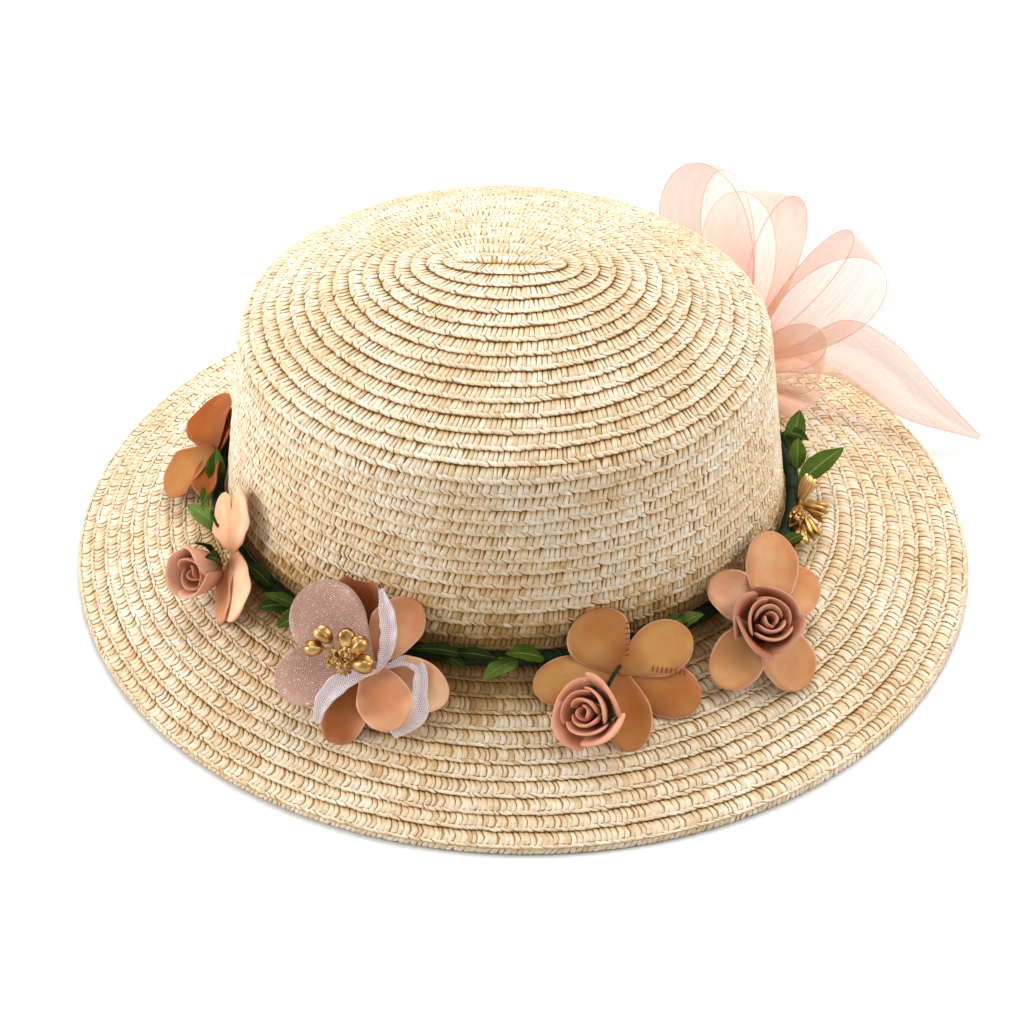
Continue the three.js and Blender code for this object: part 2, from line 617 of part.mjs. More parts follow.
// A loop is a ribbon between two hems. Each hem leaves the knot, rounds its tip and comes back.
// spread is half the angle between its two runs.
const LOOPS = [
  { near: { right: -20, up: 72.5, fore: 14, spread: 27 }, far: { right: -7, up: 72, fore: -8, spread: 17 } },
  { near: { right: 21, up: 63, fore: -11, spread: 16 }, far: { right: 0, up: 66, fore: -34, spread: 24 } },
  { near: { right: 40, up: 49, fore: 15, spread: 12 }, far: { right: 53, up: 36, fore: -5, spread: 27 } },
  { near: { right: 31, up: 6, fore: 28, spread: 20 }, far: { right: 29, up: -8, fore: 12, spread: 24 } },
];

function hemPoint(hem, share) {
  const axis = inFan(hem.right, hem.up, hem.fore);
  const length = axis.length();
  axis.normalize();
  const swell = new THREE.Vector3().crossVectors(fan.fore, axis).normalize();
  const angle = degrees(hem.spread) * (1 - 2 * share);
  const start = KNOT.radius + KNOT_CLEAR;
  const fullness = Math.max(Math.cos((Math.PI / 2) * (1 - 2 * share)), 0) ** LOOP_ROUNDNESS;
  const reach = start + (length - start) * fullness;
  return fan.middle.clone().addScaledVector(axis, reach * Math.cos(angle))
    .addScaledVector(swell, reach * Math.sin(angle));
}

function addLoops() {
  LOOPS.forEach((loop, number) => {
    const ribbon = sheetGeometry((v, u) => {
      const share = THREE.MathUtils.clamp(v, 0, 1);
      return hemPoint(loop.near, share).lerp(hemPoint(loop.far, share), u);
    }, LOOP_STEPS, 1, RIBBON);
    addMesh(`bow_loop_${number + 1}`, ribbon, ORGANZA, 0.6);
  });
}

// Tails: the two hems from knot to end, in the hat's own axes from the knot.
const TAILS = [
  {
    name: "bow_tail_long",
    upper: [[7.2, 2.2, -1.1], [22, 11, 0.5], [40, 20, 5], [58, 16, -2], [76, 8, -20], [92, 2, -35.5]],
    lower: [[6.7, 0, -3.2], [21, 1.5, -5], [39, 5, -11], [62, 0, -25], [91, 1.4, -36.5]],
  },
  {
    name: "bow_tail_short",
    upper: [[6.2, -3.8, -2.9], [16, -4, -6], [27, -4, -8], [33, -5, -9.5]],
    lower: [[3.6, -5.8, -4], [9, -9, -8], [14, -11, -12], [19.7, -13, -15]],
  },
];

function addTails() {
  for (const tail of TAILS) {
    const place = (offset) => fan.middle.clone().add(new THREE.Vector3(...offset));
    const hem = (offsets) => new THREE.CatmullRomCurve3(offsets.map(place));
    const upper = hem(tail.upper);
    const lower = hem(tail.lower);
    const ribbon = sheetGeometry((v, u) => {
      const share = THREE.MathUtils.clamp(v, 0, 1);
      return upper.getPoint(share).lerp(lower.getPoint(share), u);
    }, 8, 1, RIBBON);
    addMesh(tail.name, ribbon, ORGANZA, 0.6);
  }
}

function addKnot() {
  const knot = new THREE.SphereGeometry(KNOT.radius, 10, 6);
  knot.translate(fan.middle.x, fan.middle.y, fan.middle.z);
  addMesh("bow_knot", bare(knot), ORGANZA, 0.6);
}

addCrown();
addBrim();
addStem();
addPetals();
addRoses();
addGauze();
addStamens();
addPods();
addLeaves();
addKnot();
addLoops();
addTails();

// The origin goes under the middle of the whole piece, on the surface that the rim rests on.
const bounds = new THREE.Box3().setFromObject(hat);
const middle = bounds.getCenter(new THREE.Vector3());
hat.position.set(-middle.x, -middle.y, 0);

export default hat;
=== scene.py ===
"""A wide-brim straw hat of sewn paper braid, with a garland of foam flowers and a bow of sheer organza.

All shapes are worked out in millimetres in the hat's own axes: the middle of the brim on the table is the
origin, +X runs along the oval and +Z is up. row_place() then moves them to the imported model's frame in metres.
Each surface is a grid of points over two parameters, and each braid stitch is one small closed lobe.
"""

import functools
import math

import bmesh
import bpy
import numpy as np
from mathutils import Matrix, Vector


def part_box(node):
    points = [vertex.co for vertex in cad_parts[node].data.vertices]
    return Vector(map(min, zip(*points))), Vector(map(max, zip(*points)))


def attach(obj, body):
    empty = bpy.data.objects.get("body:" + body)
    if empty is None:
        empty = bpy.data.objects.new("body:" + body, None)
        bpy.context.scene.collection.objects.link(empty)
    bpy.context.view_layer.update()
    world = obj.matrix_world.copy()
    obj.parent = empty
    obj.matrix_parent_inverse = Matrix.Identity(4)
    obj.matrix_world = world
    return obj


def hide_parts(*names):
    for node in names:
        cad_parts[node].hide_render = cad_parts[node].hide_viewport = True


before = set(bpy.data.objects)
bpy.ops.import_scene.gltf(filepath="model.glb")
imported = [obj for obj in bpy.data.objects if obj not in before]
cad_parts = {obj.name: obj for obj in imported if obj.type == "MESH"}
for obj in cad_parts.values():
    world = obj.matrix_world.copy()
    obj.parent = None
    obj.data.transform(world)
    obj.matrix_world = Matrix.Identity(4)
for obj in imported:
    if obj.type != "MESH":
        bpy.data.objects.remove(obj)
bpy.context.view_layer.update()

MM = 0.001
TAU = 2 * np.pi
X, Y, Z = np.eye(3)

# The straw body, as the solids have it
SEAM_HALF = 15.9
TIP_RADIUS = 73.65
CREASE_HEIGHT = 109.8
DOME_RISE = 27.5
DOME_POWER = 1.8
SHOULDER_RADIUS = 8.75
WALL_ANGLE = math.radians(84.56)
FOOT_HEIGHT = 28.0
TURN_RISE = 4.0
BRIM_WIDTH = 61.6
CROWN_SHIFT = (-6.9, 4.4)
STRAW = 2.0
ROW_STEP = 0.6
CROWN_ROWS = 28
BRIM_ROWS = 12

# The garland and the bow, as the solids have them
STEM_RADIUS = 2.5
STEM_OUT = 3.6
STEM_HEIGHT = 31.7
KNOT = dict(turn=38, height=42, out=6.2, radius=7.2)
BOW_LEAN = math.radians(44)

brim_low, brim_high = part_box("brim")
HAT_ORIGIN = (np.array(brim_low) + np.array(brim_high)) / 2 * (1, 1, 0)


def row_place(points):
    """Hat axes in millimetres to the model's frame in metres."""
    return np.asarray(points, float) * MM + HAT_ORIGIN


# Directions and lines


def unit(vectors):
    """Each vector divided by its own length."""
    return vectors / np.maximum(np.linalg.norm(vectors, axis=-1, keepdims=True), 1e-9)


def turned(first, second, degrees):
    """The direction so many degrees round from the first one towards the second."""
    return first * math.cos(math.radians(degrees)) + second * math.sin(math.radians(degrees))


def along_axes(start, axes, *amounts):
    """Points that lie from start by an amount along each axis. The amounts may be grids."""
    for axis, amount in zip(axes, np.broadcast_arrays(*amounts)):
        start = start + axis * amount[..., None]
    return start


def grid_normal(grid):
    """The unit normal at each point of a grid: square to the way down it and the way across it."""
    return unit(np.cross(np.gradient(grid, axis=0), np.gradient(grid, axis=1)))


def distance(points):
    """The distance run along a line of points, from 0 at the first."""
    return np.append(0, np.linalg.norm(np.diff(points, axis=0), axis=-1).cumsum())


def on_oval(radius, turn, height, down=1.0):
    """A place round the hat: a circle drawn out along X by the centre seam, and shifted as far as the crown is."""
    x = (radius + SEAM_HALF) * np.cos(turn) + CROWN_SHIFT[0] * down
    y = radius * np.sin(turn) + CROWN_SHIFT[1] * down
    return np.stack(np.broadcast_arrays(x, y, height), -1)


def smooth_path(points, count):
    """A smooth curve through points: cubic pieces whose slope at a point is half the step between its neighbours."""
    p = np.asarray(points, float)
    p = np.concatenate([2 * p[:1] - p[1:2], p, 2 * p[-1:] - p[-2:-1]])
    t = np.linspace(0, len(points) - 1, count)
    i = np.minimum(t.astype(int), len(points) - 2)
    f = (t - i)[:, None]
    a, b, c, d = p[i], p[i + 1], p[i + 2], p[i + 3]
    return 0.5 * (2 * b + (c - a) * f + (2 * a - 5 * b + 4 * c - d) * f ** 2 + (3 * b - a - 3 * c + d) * f ** 3)


# Meshes


def grid_faces(rows, columns, round_rows=False, round_columns=False):
    """Quads between the points of a rows by columns grid, whose ends may join into a ring."""
    i = np.arange(rows if round_rows else rows - 1)[:, None]
    j = np.arange(columns if round_columns else columns - 1)[None, :]
    here, below = i * columns, ((i + 1) % rows) * columns
    right = (j + 1) % columns
    return np.stack([here + j, below + j, below + right, here + right], -1).reshape(-1, 4)


def block(points, faces, uv=None, tone=0.5):
    """A bit of a mesh: its points in hat axes, faces, map and tone, which is one number a point."""
    points = np.asarray(points, float).reshape(-1, 3)
    uv = np.zeros((len(points), 2)) if uv is None else np.asarray(uv, float).reshape(-1, 2)
    return dict(points=points, faces=faces, uv=uv, tone=np.broadcast_to(tone, len(points)).astype(float))


def outwards(part):
    """Faces turned round if they enclose less than nothing, so that a closed bit faces out."""
    p, f = part["points"] - part["points"].mean(0), part["faces"]
    volume = (p[f[:, 0]] * np.cross(p[f[:, 1]], p[f[:, 2]])).sum()
    if f.shape[1] == 4:
        volume += (p[f[:, 0]] * np.cross(p[f[:, 2]], p[f[:, 3]])).sum()
    if volume < 0:
        part["faces"] = f[:, ::-1]
    return part


def sheet_block(grid, thickness, uv=None, tone=0.5, edge=0.35):
    """A closed thin body about a grid of points. It is thickness deep inside and edge of that at its rim."""
    rows, columns, _ = grid.shape
    normal = grid_normal(grid)
    normal[0], normal[-1] = normal[1], normal[-2]
    depth = np.full((rows, columns, 1), thickness / 2 * edge)
    depth[1:-1, 1:-1] = thickness / 2
    index = np.arange(rows * columns).reshape(rows, columns)
    rim = np.concatenate([index[0], index[1:, -1], index[-1, -2::-1], index[-2:0:-1, 0]])
    after, top, under = np.roll(rim, -1), grid_faces(rows, columns), rows * columns
    wall = np.stack([rim, after, after + under, rim + under], -1)
    faces = np.concatenate([top, top[:, ::-1] + under, wall])
    if uv is None:
        uv = np.stack(np.broadcast_arrays(np.linspace(0, 1, columns), np.linspace(0, 1, rows)[:, None]), -1)
    tone = np.broadcast_to(tone, (rows, columns)).ravel()
    points = np.concatenate([grid + normal * depth, grid - normal * depth])
    return outwards(block(points, faces, np.concatenate([uv.reshape(-1, 2)] * 2), np.concatenate([tone, tone])))


def tube_block(path, radius, sides=8, tone=0.5):
    """A round rod along a path: circles square to the path's direction, closed to a point at both ends."""
    ahead = unit(np.gradient(path, axis=0))
    side = unit(np.cross(ahead, np.eye(3)[np.argmin(np.abs(ahead).mean(0))]))
    turn = TAU * np.arange(sides)[:, None] / sides
    ring = np.cos(turn) * side[:, None] + np.sin(turn) * np.cross(ahead, side)[:, None]
    at = np.clip(np.arange(-1, len(path) + 1), 0, len(path) - 1)
    size = radius * np.pad(np.ones(len(path)), 1)[:, None, None]
    uv = np.stack(np.broadcast_arrays(np.arange(sides) / sides, distance(path)[at, None]), -1)
    faces = grid_faces(len(at), sides, round_columns=True)
    return outwards(block(path[at, None] + ring[at] * size, faces, uv, tone))


def add_piece(name, parts, material, instead=(), levels=0, merge=True):
    """One mesh object from a list of blocks, riding on the hat in place of the named solids."""
    starts = np.cumsum([0] + [len(part["points"]) for part in parts])
    points = row_place(np.concatenate([part["points"] for part in parts]))
    faces = np.concatenate([part["faces"] + start for part, start in zip(parts, starts)])
    uv, tone = (np.concatenate([part[key] for part in parts]) for key in ("uv", "tone"))
    mesh = bpy.data.meshes.new(name)
    mesh.vertices.add(len(points))
    mesh.vertices.foreach_set("co", points.astype(np.float32).ravel())
    mesh.loops.add(faces.size)
    mesh.loops.foreach_set("vertex_index", faces.astype(np.int32).ravel())
    mesh.polygons.add(len(faces))
    mesh.polygons.foreach_set("loop_start", np.arange(0, faces.size, faces.shape[1], dtype=np.int32))
    mesh.update(calc_edges=True)
    mesh.uv_layers.new(name="surface").uv.foreach_set("vector", uv[faces.ravel()].astype(np.float32).ravel())
    mesh.attributes.new("tone", "FLOAT", "POINT").data.foreach_set("value", tone.astype(np.float32))
    if merge:
        shape = bmesh.new()
        shape.from_mesh(mesh)
        bmesh.ops.remove_doubles(shape, verts=shape.verts, dist=2e-6)
        bmesh.ops.dissolve_degenerate(shape, edges=shape.edges, dist=1e-7)
        shape.to_mesh(mesh)
        shape.free()
    mesh.polygons.foreach_set("use_smooth", np.ones(len(mesh.polygons), bool))
    mesh.materials.append(material)
    piece = bpy.data.objects.new(name, mesh)
    bpy.context.scene.collection.objects.link(piece)
    if levels:
        finer = piece.modifiers.new("finer", "SUBSURF")
        finer.levels = finer.render_levels = levels
    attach(piece, "root")
    if instead:
        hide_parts(*instead)
    return piece


# Materials

BLEND = dict(data_type="RGBA")
MULTIPLY = dict(data_type="RGBA", blend_type="MULTIPLY")
MIXED = 2  # the colour output of a Mix node
WHITE = "FFFFFF"


def linear(code):
    """An sRGB hex colour as linear light, with alpha 1."""
    channels = np.array([int(code[i:i + 2], 16) for i in (0, 2, 4)]) / 255
    channels = np.where(channels <= 0.04045, channels / 12.92, ((channels + 0.055) / 1.055) ** 2.4)
    return (*channels.tolist(), 1.0)


def node(tree, kind, *sockets, stops=(), **settings):
    """A new node of a kind, or one that is there, with its settings, a colour ramp's stops as (place, hex colour)
    and its sockets: each is (socket, node, that node's output, or 0 if left out) or (socket, value or hex colour)."""
    made = tree.nodes.new("ShaderNode" + kind) if isinstance(kind, str) else kind
    for key, value in settings.items():
        setattr(made, key, value)
    for socket, source, *output in sockets:
        if isinstance(source, bpy.types.Node):
            tree.links.new(source.outputs[output[0] if output else 0], made.inputs[socket])
        else:
            made.inputs[socket].default_value = linear(source) if isinstance(source, str) else source
    for _ in stops[2:]:
        made.color_ramp.elements.new(0.5)
    for number, (place, code) in enumerate(stops):
        made.color_ramp.elements[number].position = place
        made.color_ramp.elements[number].color = linear(code)
    return made


def new_material(name, roughness, **shader):
    """A material, its Principled shader with these values, and the function that adds a node to it."""
    material = bpy.data.materials.new(name)
    material.use_nodes = True
    add = functools.partial(node, material.node_tree)
    values = [(key.replace("_", " "), value) for key, value in shader.items()]
    return material, add(material.node_tree.nodes["Principled BSDF"], ("Roughness", roughness), *values), add


def stained(add, colour, *layers):
    """A colour multiplied by one ramp of colours after another: each is its share, node, output and stops."""
    output = MIXED if colour.bl_idname == "ShaderNodeMix" else 0
    for share, source, socket, stops in layers:
        layer = add("ValToRGB", (0, source, socket), stops=stops)
        colour, output = add("Mix", (0, share), (6, colour, output), (7, layer), **MULTIPLY), MIXED
    return colour


def straw_lobe_material():
    """Twisted paper straw: matt cream strands, each a little lighter or more toasted than the next, with painted shade
    that darkens them near the wall's foot and browns their sides and ends where they sink into crevices. Slanting lines
    show the twist of the paper."""
    material, shader, add = new_material("twisted_paper_straw", 0.6, Specular_IOR_Level=0.4)
    # The map runs from 0 at a leg's sides and ends, browned there as painted shade, to 1, and tone picks how toasted
    # that stitch is, lowered near the wall's foot as painted shade
    place, tone = add("TexCoord"), add("Attribute", attribute_name="tone")
    strands = add("ValToRGB", (0, tone, "Fac"), stops=[
        (0.0, "B08C58"), (0.2, "D6B888"), (0.4, "E6D3B4"), (0.65, "EFE2CB"), (1.0, "FAF2E4")])
    patches = add("TexNoise", (0, place, "Object"), ("Scale", 1 / (30 * MM)), ("Detail", 3.0))
    spread = add("SeparateXYZ", (0, place, "UV"))
    across = add("Math", (0, spread, 1), (1, 1.4), operation="MULTIPLY")
    slant = add("Math", (0, spread), (1, 3.5), (2, across), operation="MULTIPLY_ADD")
    strand = add("Math", (0, tone, "Fac"), (1, 60.0), operation="MULTIPLY")
    twisted = add("CombineXYZ", (0, slant), (1, spread, 1), (2, strand))
    plies = add("TexNoise", (0, twisted), ("Scale", 1.0), ("Detail", 2.0))
    whole = stained(
        add, strands, (0.5, patches, 0, [(0.38, "F3DFC2"), (0.6, WHITE)]),
        # Painted shade: each leg's sides go brown, the right side most, and so does the end that starts under the row
        # above
        (0.85, spread, 0, [(0.0, "AE7C3A"), (0.35, "F0D6A6"), (0.65, WHITE)]),
        (0.8, spread, 1, [(0.0, "9C6E36"), (0.3, "F2DEB8"), (0.5, WHITE), (0.9, WHITE), (1.0, "E8CFA0")]),
        (0.45, plies, 0, [(0.38, "DDBE8E"), (0.52, WHITE)]))
    fibres = add("TexNoise", (0, place, "Object"), ("Scale", 1 / (0.8 * MM)), ("Detail", 3.0))
    rough = add("Bump", ("Height", fibres), ("Distance", 0.2 * MM), ("Strength", 0.5))
    relief = add("Bump", ("Height", plies), ("Distance", 0.35 * MM), ("Strength", 0.6), ("Normal", rough))
    add(shader, ("Base Color", whole, MIXED), ("Normal", relief))
    return material


def straw_ground_material():
    """The same straw deep between the stitches, painted dark brown as shade, and inside the hat, tan with the braid's
    chevrons.
    """
    material, shader, add = new_material("paper_straw_ground", 0.75, Specular_IOR_Level=0.2)
    spread = add("SeparateXYZ", (0, add("TexCoord"), "UV"))
    row = add("Math", (0, spread, 1), operation="FRACT")
    side = add("Math", (0, row), (1, 0.6), operation="SUBTRACT")
    lean = add("Math", (0, side), operation="ABSOLUTE")
    slant = add("Math", (0, lean), (1, 1.1), (2, spread), operation="MULTIPLY_ADD")
    stitch = add("Math", (0, slant), operation="FRACT")
    chevron = add("ValToRGB", (0, stitch), stops=[
        (0.0, "9A7036"), (0.16, "D6B47A"), (0.5, "EAD2A2"), (0.84, "D6B47A"), (1.0, "9A7036")])
    inside = stained(add, chevron, (0.9, row, 0, [(0.0, "7A5422"), (0.1, WHITE), (0.9, WHITE), (1.0, "8A6430")]))
    # Painted shade in the gaps between stitches: darkest where a row starts under the one above, and dark again at the
    # row's end
    painted_crevice_shade = add("ValToRGB", (0, row), stops=[(0.0, "6A4216"), (0.3, "9A6C34"), (0.75, "C49A5E"), (1.0, "7E5626")])
    which = add("Attribute", attribute_name="tone")
    whole = add("Mix", (0, which, "Fac"), (6, painted_crevice_shade), (7, inside, MIXED), **BLEND)
    relief = add("Bump", ("Height", whole, MIXED), ("Distance", 0.6 * MM), ("Strength", 0.8))
    add(shader, ("Base Color", whole, MIXED), ("Normal", relief))
    return material


def foam_material(name, stops, blush, blush_share, dark="6E2F22", heart_end=0.3, rim_highlight="EFC49C"):
    """Cut EVA foam, airbrushed: matt and soft to the light, darker at the heart, with a mist of blush that is
    strongest at the rim, a painted highlight in a thin paler line along the rim, and creases that run out from the
    heart."""
    material, shader, add = new_material(name, 0.55, Specular_IOR_Level=0.2)
    place, tone = add("TexCoord"), add("Attribute", attribute_name="tone")
    spread = add("SeparateXYZ", (0, place, "UV"))
    mist = add("TexNoise", (0, place, "Object"), ("Scale", 1 / (16 * MM)), ("Detail", 3.0))
    sprayed = stained(
        add, add("ValToRGB", (0, tone, "Fac"), stops=stops), (0.75, spread, 1, [(0.0, dark), (heart_end, WHITE)]),
        (0.6, mist, 0, [(0.36, "E8BC94"), (0.6, WHITE)]))
    inwards = add("Math", (0, spread), (1, 0.5), operation="PINGPONG")
    sides = add("MapRange", (0, inwards), (1, 0.2), (2, 0.0))
    tip = add("MapRange", (0, spread, 1), (1, 0.7))
    rim = add("Math", (0, sides), (1, tip), operation="MAXIMUM")
    share = add("Math", (0, rim), (1, blush_share), operation="MULTIPLY")
    blushed = add("Mix", (0, share), (6, sprayed, MIXED), (7, blush), **BLEND)
    # Painted highlight: a thin paler line along the petal's rim
    cut = add("MapRange", (0, rim), (1, 0.82), (2, 0.98), (4, 0.42))
    whole = add("Mix", (0, cut), (6, blushed, MIXED), (7, rim_highlight), **BLEND)
    skin = add("TexNoise", (0, place, "Object"), ("Scale", 1 / (1.2 * MM)), ("Detail", 3.0))
    grain = add("Bump", ("Height", skin), ("Distance", 0.12 * MM), ("Strength", 0.5))
    # Three creases or so across a petal, which is 13 to 24 mm wide
    rays = add("Mapping", (0, place, "UV"), ("Scale", (3.2, 1.6, 1.0)))
    creases = add("TexNoise", (0, rays), ("Scale", 1.0), ("Detail", 2.0))
    relief = add("Bump", ("Height", creases), ("Distance", 0.9 * MM), ("Strength", 0.45), ("Normal", grain))
    add(shader, ("Base Color", whole, MIXED), ("Normal", relief))
    return material


def leaf_material():
    """Starched and dyed cotton leaf: green with a paler midrib and pressed side veins."""
    material, shader, add = new_material("dyed_cotton_leaf", 0.65, Specular_IOR_Level=0.15)
    place, tone = add("TexCoord"), add("Attribute", attribute_name="tone")
    body = add("ValToRGB", (0, tone, "Fac"), stops=[(0.0, "1C2E0A"), (0.5, "4C6410"), (1.0, "8CA45A")])
    spread = add("SeparateXYZ", (0, place, "UV"))
    centre = add("Math", (0, spread), (1, 0.5), operation="SUBTRACT")
    away = add("Math", (0, centre), operation="ABSOLUTE")
    slope = add("Math", (0, away), (1, -0.9), (2, spread, 1), operation="MULTIPLY_ADD")
    veins = add("Math", (0, slope), (1, 44.0), operation="MULTIPLY")
    pressed = add("Math", (0, veins), operation="SINE")
    rib = add("MapRange", (0, away), (1, 0.01), (2, 0.06), (3, 0.3), (4, 0.0))
    ribbed = add("Mix", (0, rib), (6, body), (7, "B9C48A"), **BLEND)
    faded = add("TexNoise", (0, place, "Object"), ("Scale", 1 / (7 * MM)), ("Detail", 2.0))
    whole = stained(add, ribbed, (0.6, faded, 0, [(0.35, "B6B68E"), (0.65, WHITE)]))
    relief = add("Bump", ("Height", pressed), ("Distance", 0.12 * MM), ("Strength", 0.5))
    add(shader, ("Base Color", whole, MIXED), ("Normal", relief))
    return material


def stem_material():
    """Florist's tape wound on wire: near-black green with the tape's slanting laps, one every 3.2 mm."""
    material, shader, add = new_material("wound_florist_tape", 0.6, Specular_IOR_Level=0.2)
    spread = add("SeparateXYZ", (0, add("TexCoord"), "UV"))
    lap = add("Math", (0, spread, 1), (1, 1 / 3.2), (2, spread), operation="MULTIPLY_ADD")
    edge = add("Math", (0, lap), operation="FRACT")
    body = add("ValToRGB", (0, edge), stops=[(0.0, "060D06"), (0.2, "12220F"), (1.0, "1B3014")])
    relief = add("Bump", ("Height", edge), ("Distance", 0.25 * MM), ("Strength", 0.7))
    add(shader, ("Base Color", body), ("Normal", relief))
    return material


def gold_material():
    """Gold-lacquered seed heads: bright metal with a grain of fine beads."""
    material, shader, add = new_material("gold_lacquer", 0.36, Metallic=1.0)
    place = add("TexCoord")
    cloud = add("TexNoise", (0, place, "Object"), ("Scale", 1 / (4 * MM)), ("Detail", 2.0))
    body = add("ValToRGB", (0, cloud), stops=[(0.3, "9C7038"), (0.6, "D0A86A"), (0.8, "F0D8A8")])
    grain = add("TexVoronoi", (0, place, "Object"), ("Scale", 1 / (0.7 * MM)))
    relief = add("Bump", ("Height", grain), ("Distance", 0.15 * MM), ("Strength", 0.35))
    add(shader, ("Base Color", body), ("Normal", relief))
    return material


def gauze_material(name, light, dark, hole_mm, cover):
    """Open nylon gauze with glitter: a square net of fine threads over clear gaps, on the cloth's own map in mm,
    with specks that catch the light."""
    material, shader, add = new_material(name, 0.5, Sheen_Weight=0.3)
    place = add("TexCoord")
    spread = add("SeparateXYZ", (0, place, "UV"))
    # A net of 0.6 or 0.72 mm is coarser than the real one, so that it shows
    counts = [add("Math", (0, spread, axis), (1, 1 / hole_mm), operation="MULTIPLY") for axis in (0, 1)]
    from_thread = [add("Math", (0, count), (1, 0.5), operation="PINGPONG") for count in counts]
    gap = add("Math", (0, from_thread[0]), (1, from_thread[1]), operation="MINIMUM")
    body = add("ValToRGB", (0, gap), stops=[(0.0, light), (0.3, dark)])
    specks = add("TexNoise", (0, place, "Object"), ("Scale", 1 / (0.55 * MM)), ("Detail", 1.0))
    glitter = add("ValToRGB", (0, specks), stops=[(0.62, "000000"), (0.7, WHITE)])
    whole = add("Mix", (0, glitter), (6, body), (7, WHITE), **BLEND)
    veil = add("MapRange", (0, gap), (1, 0.22), (2, 0.08), (3, cover), (4, 0.95))
    add(shader, ("Base Color", whole, MIXED), ("Alpha", veil))
    return material


def organza_material(name, colour, thin, dense):
    """Sheer silk-like organza: one pale colour so thin that the layers add up. Its tone, from 0 to 1, is how
    closely it is gathered, and fine streaks along the cloth show its pleats and straight threads."""
    material, shader, add = new_material(name, 0.5, Sheen_Weight=0.3, Sheen_Roughness=0.4, Specular_IOR_Level=0.2)
    place, tone = add("TexCoord"), add("Attribute", attribute_name="tone")
    gather = add("MapRange", (0, tone, "Fac"), (3, thin), (4, dense))
    # The map is in mm: streaks some 1.4 mm wide and 33 mm long, coarser than the real threads so that they show
    along = add("Mapping", (0, place, "UV"), ("Scale", (0.7, 0.03, 1.0)))
    streaks = add("TexNoise", (0, along), ("Scale", 1.0), ("Detail", 2.0))
    share = add("MapRange", (0, streaks), (1, 0.3), (2, 0.7), (3, 0.85), (4, 1.15))
    veil = add("Math", (0, gather), (1, share), operation="MULTIPLY", use_clamp=True)
    soft = add("TexNoise", (0, place, "Object"), ("Scale", 1 / (30 * MM)), ("Detail", 1.0))
    body = add("ValToRGB", (0, soft), stops=[(0.3, colour), (0.75, "FCD8C2")])
    add(shader, ("Base Color", body), ("Alpha", veil))
    return material


STRAW_LOBES = straw_lobe_material()
STRAW_GROUND = straw_ground_material()
ORANGE_FOAM = foam_material("orange_eva_foam", [(0.0, "823F0C"), (0.5, "9E5616"), (1.0, "B07C40")], "9C5226", 0.4,
                            rim_highlight="B87436")
PEACH_FOAM = foam_material("peach_eva_foam", [(0.0, "823F14"), (0.25, "A05C26"), (0.5, "D0946A"), (0.75, "EAB88E"),
                                              (1.0, "F6D2AE")], "DE9E7C", 0.4, "C07A4C")
TAN_FOAM = foam_material("tan_eva_foam", [(0.0, "B06E30"), (0.3, "BC8048"), (0.6, "CC9C5C"), (0.8, "D8A06C"),
                                          (1.0, "E2B490")], "B06A4C", 0.5, "A8663E")
ROSE_FOAM = foam_material("dusty_rose_eva_foam", [(0.0, "985432"), (0.5, "C98A6A"), (1.0, "EAB294")], "E4AC90", 0.35,
                          "5A1C10", 0.75, rim_highlight="DCA48A")
LEAF_COTTON = leaf_material()
STEM_TAPE = stem_material()
GOLD = gold_material()
MAUVE_GAUZE = gauze_material("mauve_glitter_gauze", "DCB09C", "B98A76", 0.6, 0.45)
LILAC_GAUZE = gauze_material("lilac_glitter_gauze", "FCF2F2", "E2CCD0", 0.72, 0.3)
ORGANZA = organza_material("peach_organza", "FBC3A2", 0.12, 0.6)
ORGANZA_HEM = organza_material("organza_hem", "F8C0A4", 0.45, 0.45)
ORGANZA_KNOT = organza_material("gathered_organza", "FCCAAA", 0.5, 0.7)

# The straw body

CREASE_SLOPE = math.atan(DOME_RISE * DOME_POWER / TIP_RADIUS)
COLLAR_HEIGHT = FOOT_HEIGHT + TURN_RISE


def shoulder(angle):
    """Radius and height on the round shoulder, where the surface slopes down by that angle."""
    return (TIP_RADIUS + SHOULDER_RADIUS * (np.sin(angle) - math.sin(CREASE_SLOPE)),
            CREASE_HEIGHT - SHOULDER_RADIUS * (math.cos(CREASE_SLOPE) - np.cos(angle)))


def wall_radius(height):
    """The wall's radius: it widens evenly from the shoulder's end down."""
    radius, top = shoulder(WALL_ANGLE)
    return radius + (top - height) / math.tan(WALL_ANGLE)


FOOT_RADIUS = wall_radius(FOOT_HEIGHT)
RIM_RADIUS = FOOT_RADIUS + BRIM_WIDTH


def even_line(radius, height, count=1500):
    """A line of radius and height points spaced evenly, with the unit normal that points out of the straw,
    smoothed over 15 points to each side."""
    run = distance(np.stack([radius, height], -1))
    share = np.linspace(0, run[-1], count)
    r, z = np.interp(share, run, radius), np.interp(share, run, height)
    dr, dz = (np.convolve(np.pad(np.gradient(x), 15, mode="edge"), np.ones(31) / 31, "valid") for x in (r, z))
    size = np.hypot(dr, dz)
    return dict(r=r, z=z, nr=-dz / size, nz=dr / size)


def crown_line():
    """Middle of the tip, over the dome, whose fall is a power of the radius, and the round shoulder, then
    straight down the wall."""
    dome = np.linspace(0, TIP_RADIUS, 120)
    fall = CREASE_HEIGHT + DOME_RISE * (1 - (dome / TIP_RADIUS) ** DOME_POWER)
    bend = shoulder(np.linspace(CREASE_SLOPE, WALL_ANGLE, 40)[1:])
    wall = np.linspace(shoulder(WALL_ANGLE)[1], COLLAR_HEIGHT, 100)[1:]
    return even_line(np.concatenate([dome, bend[0], wall_radius(wall)]), np.concatenate([fall, bend[1], wall]))


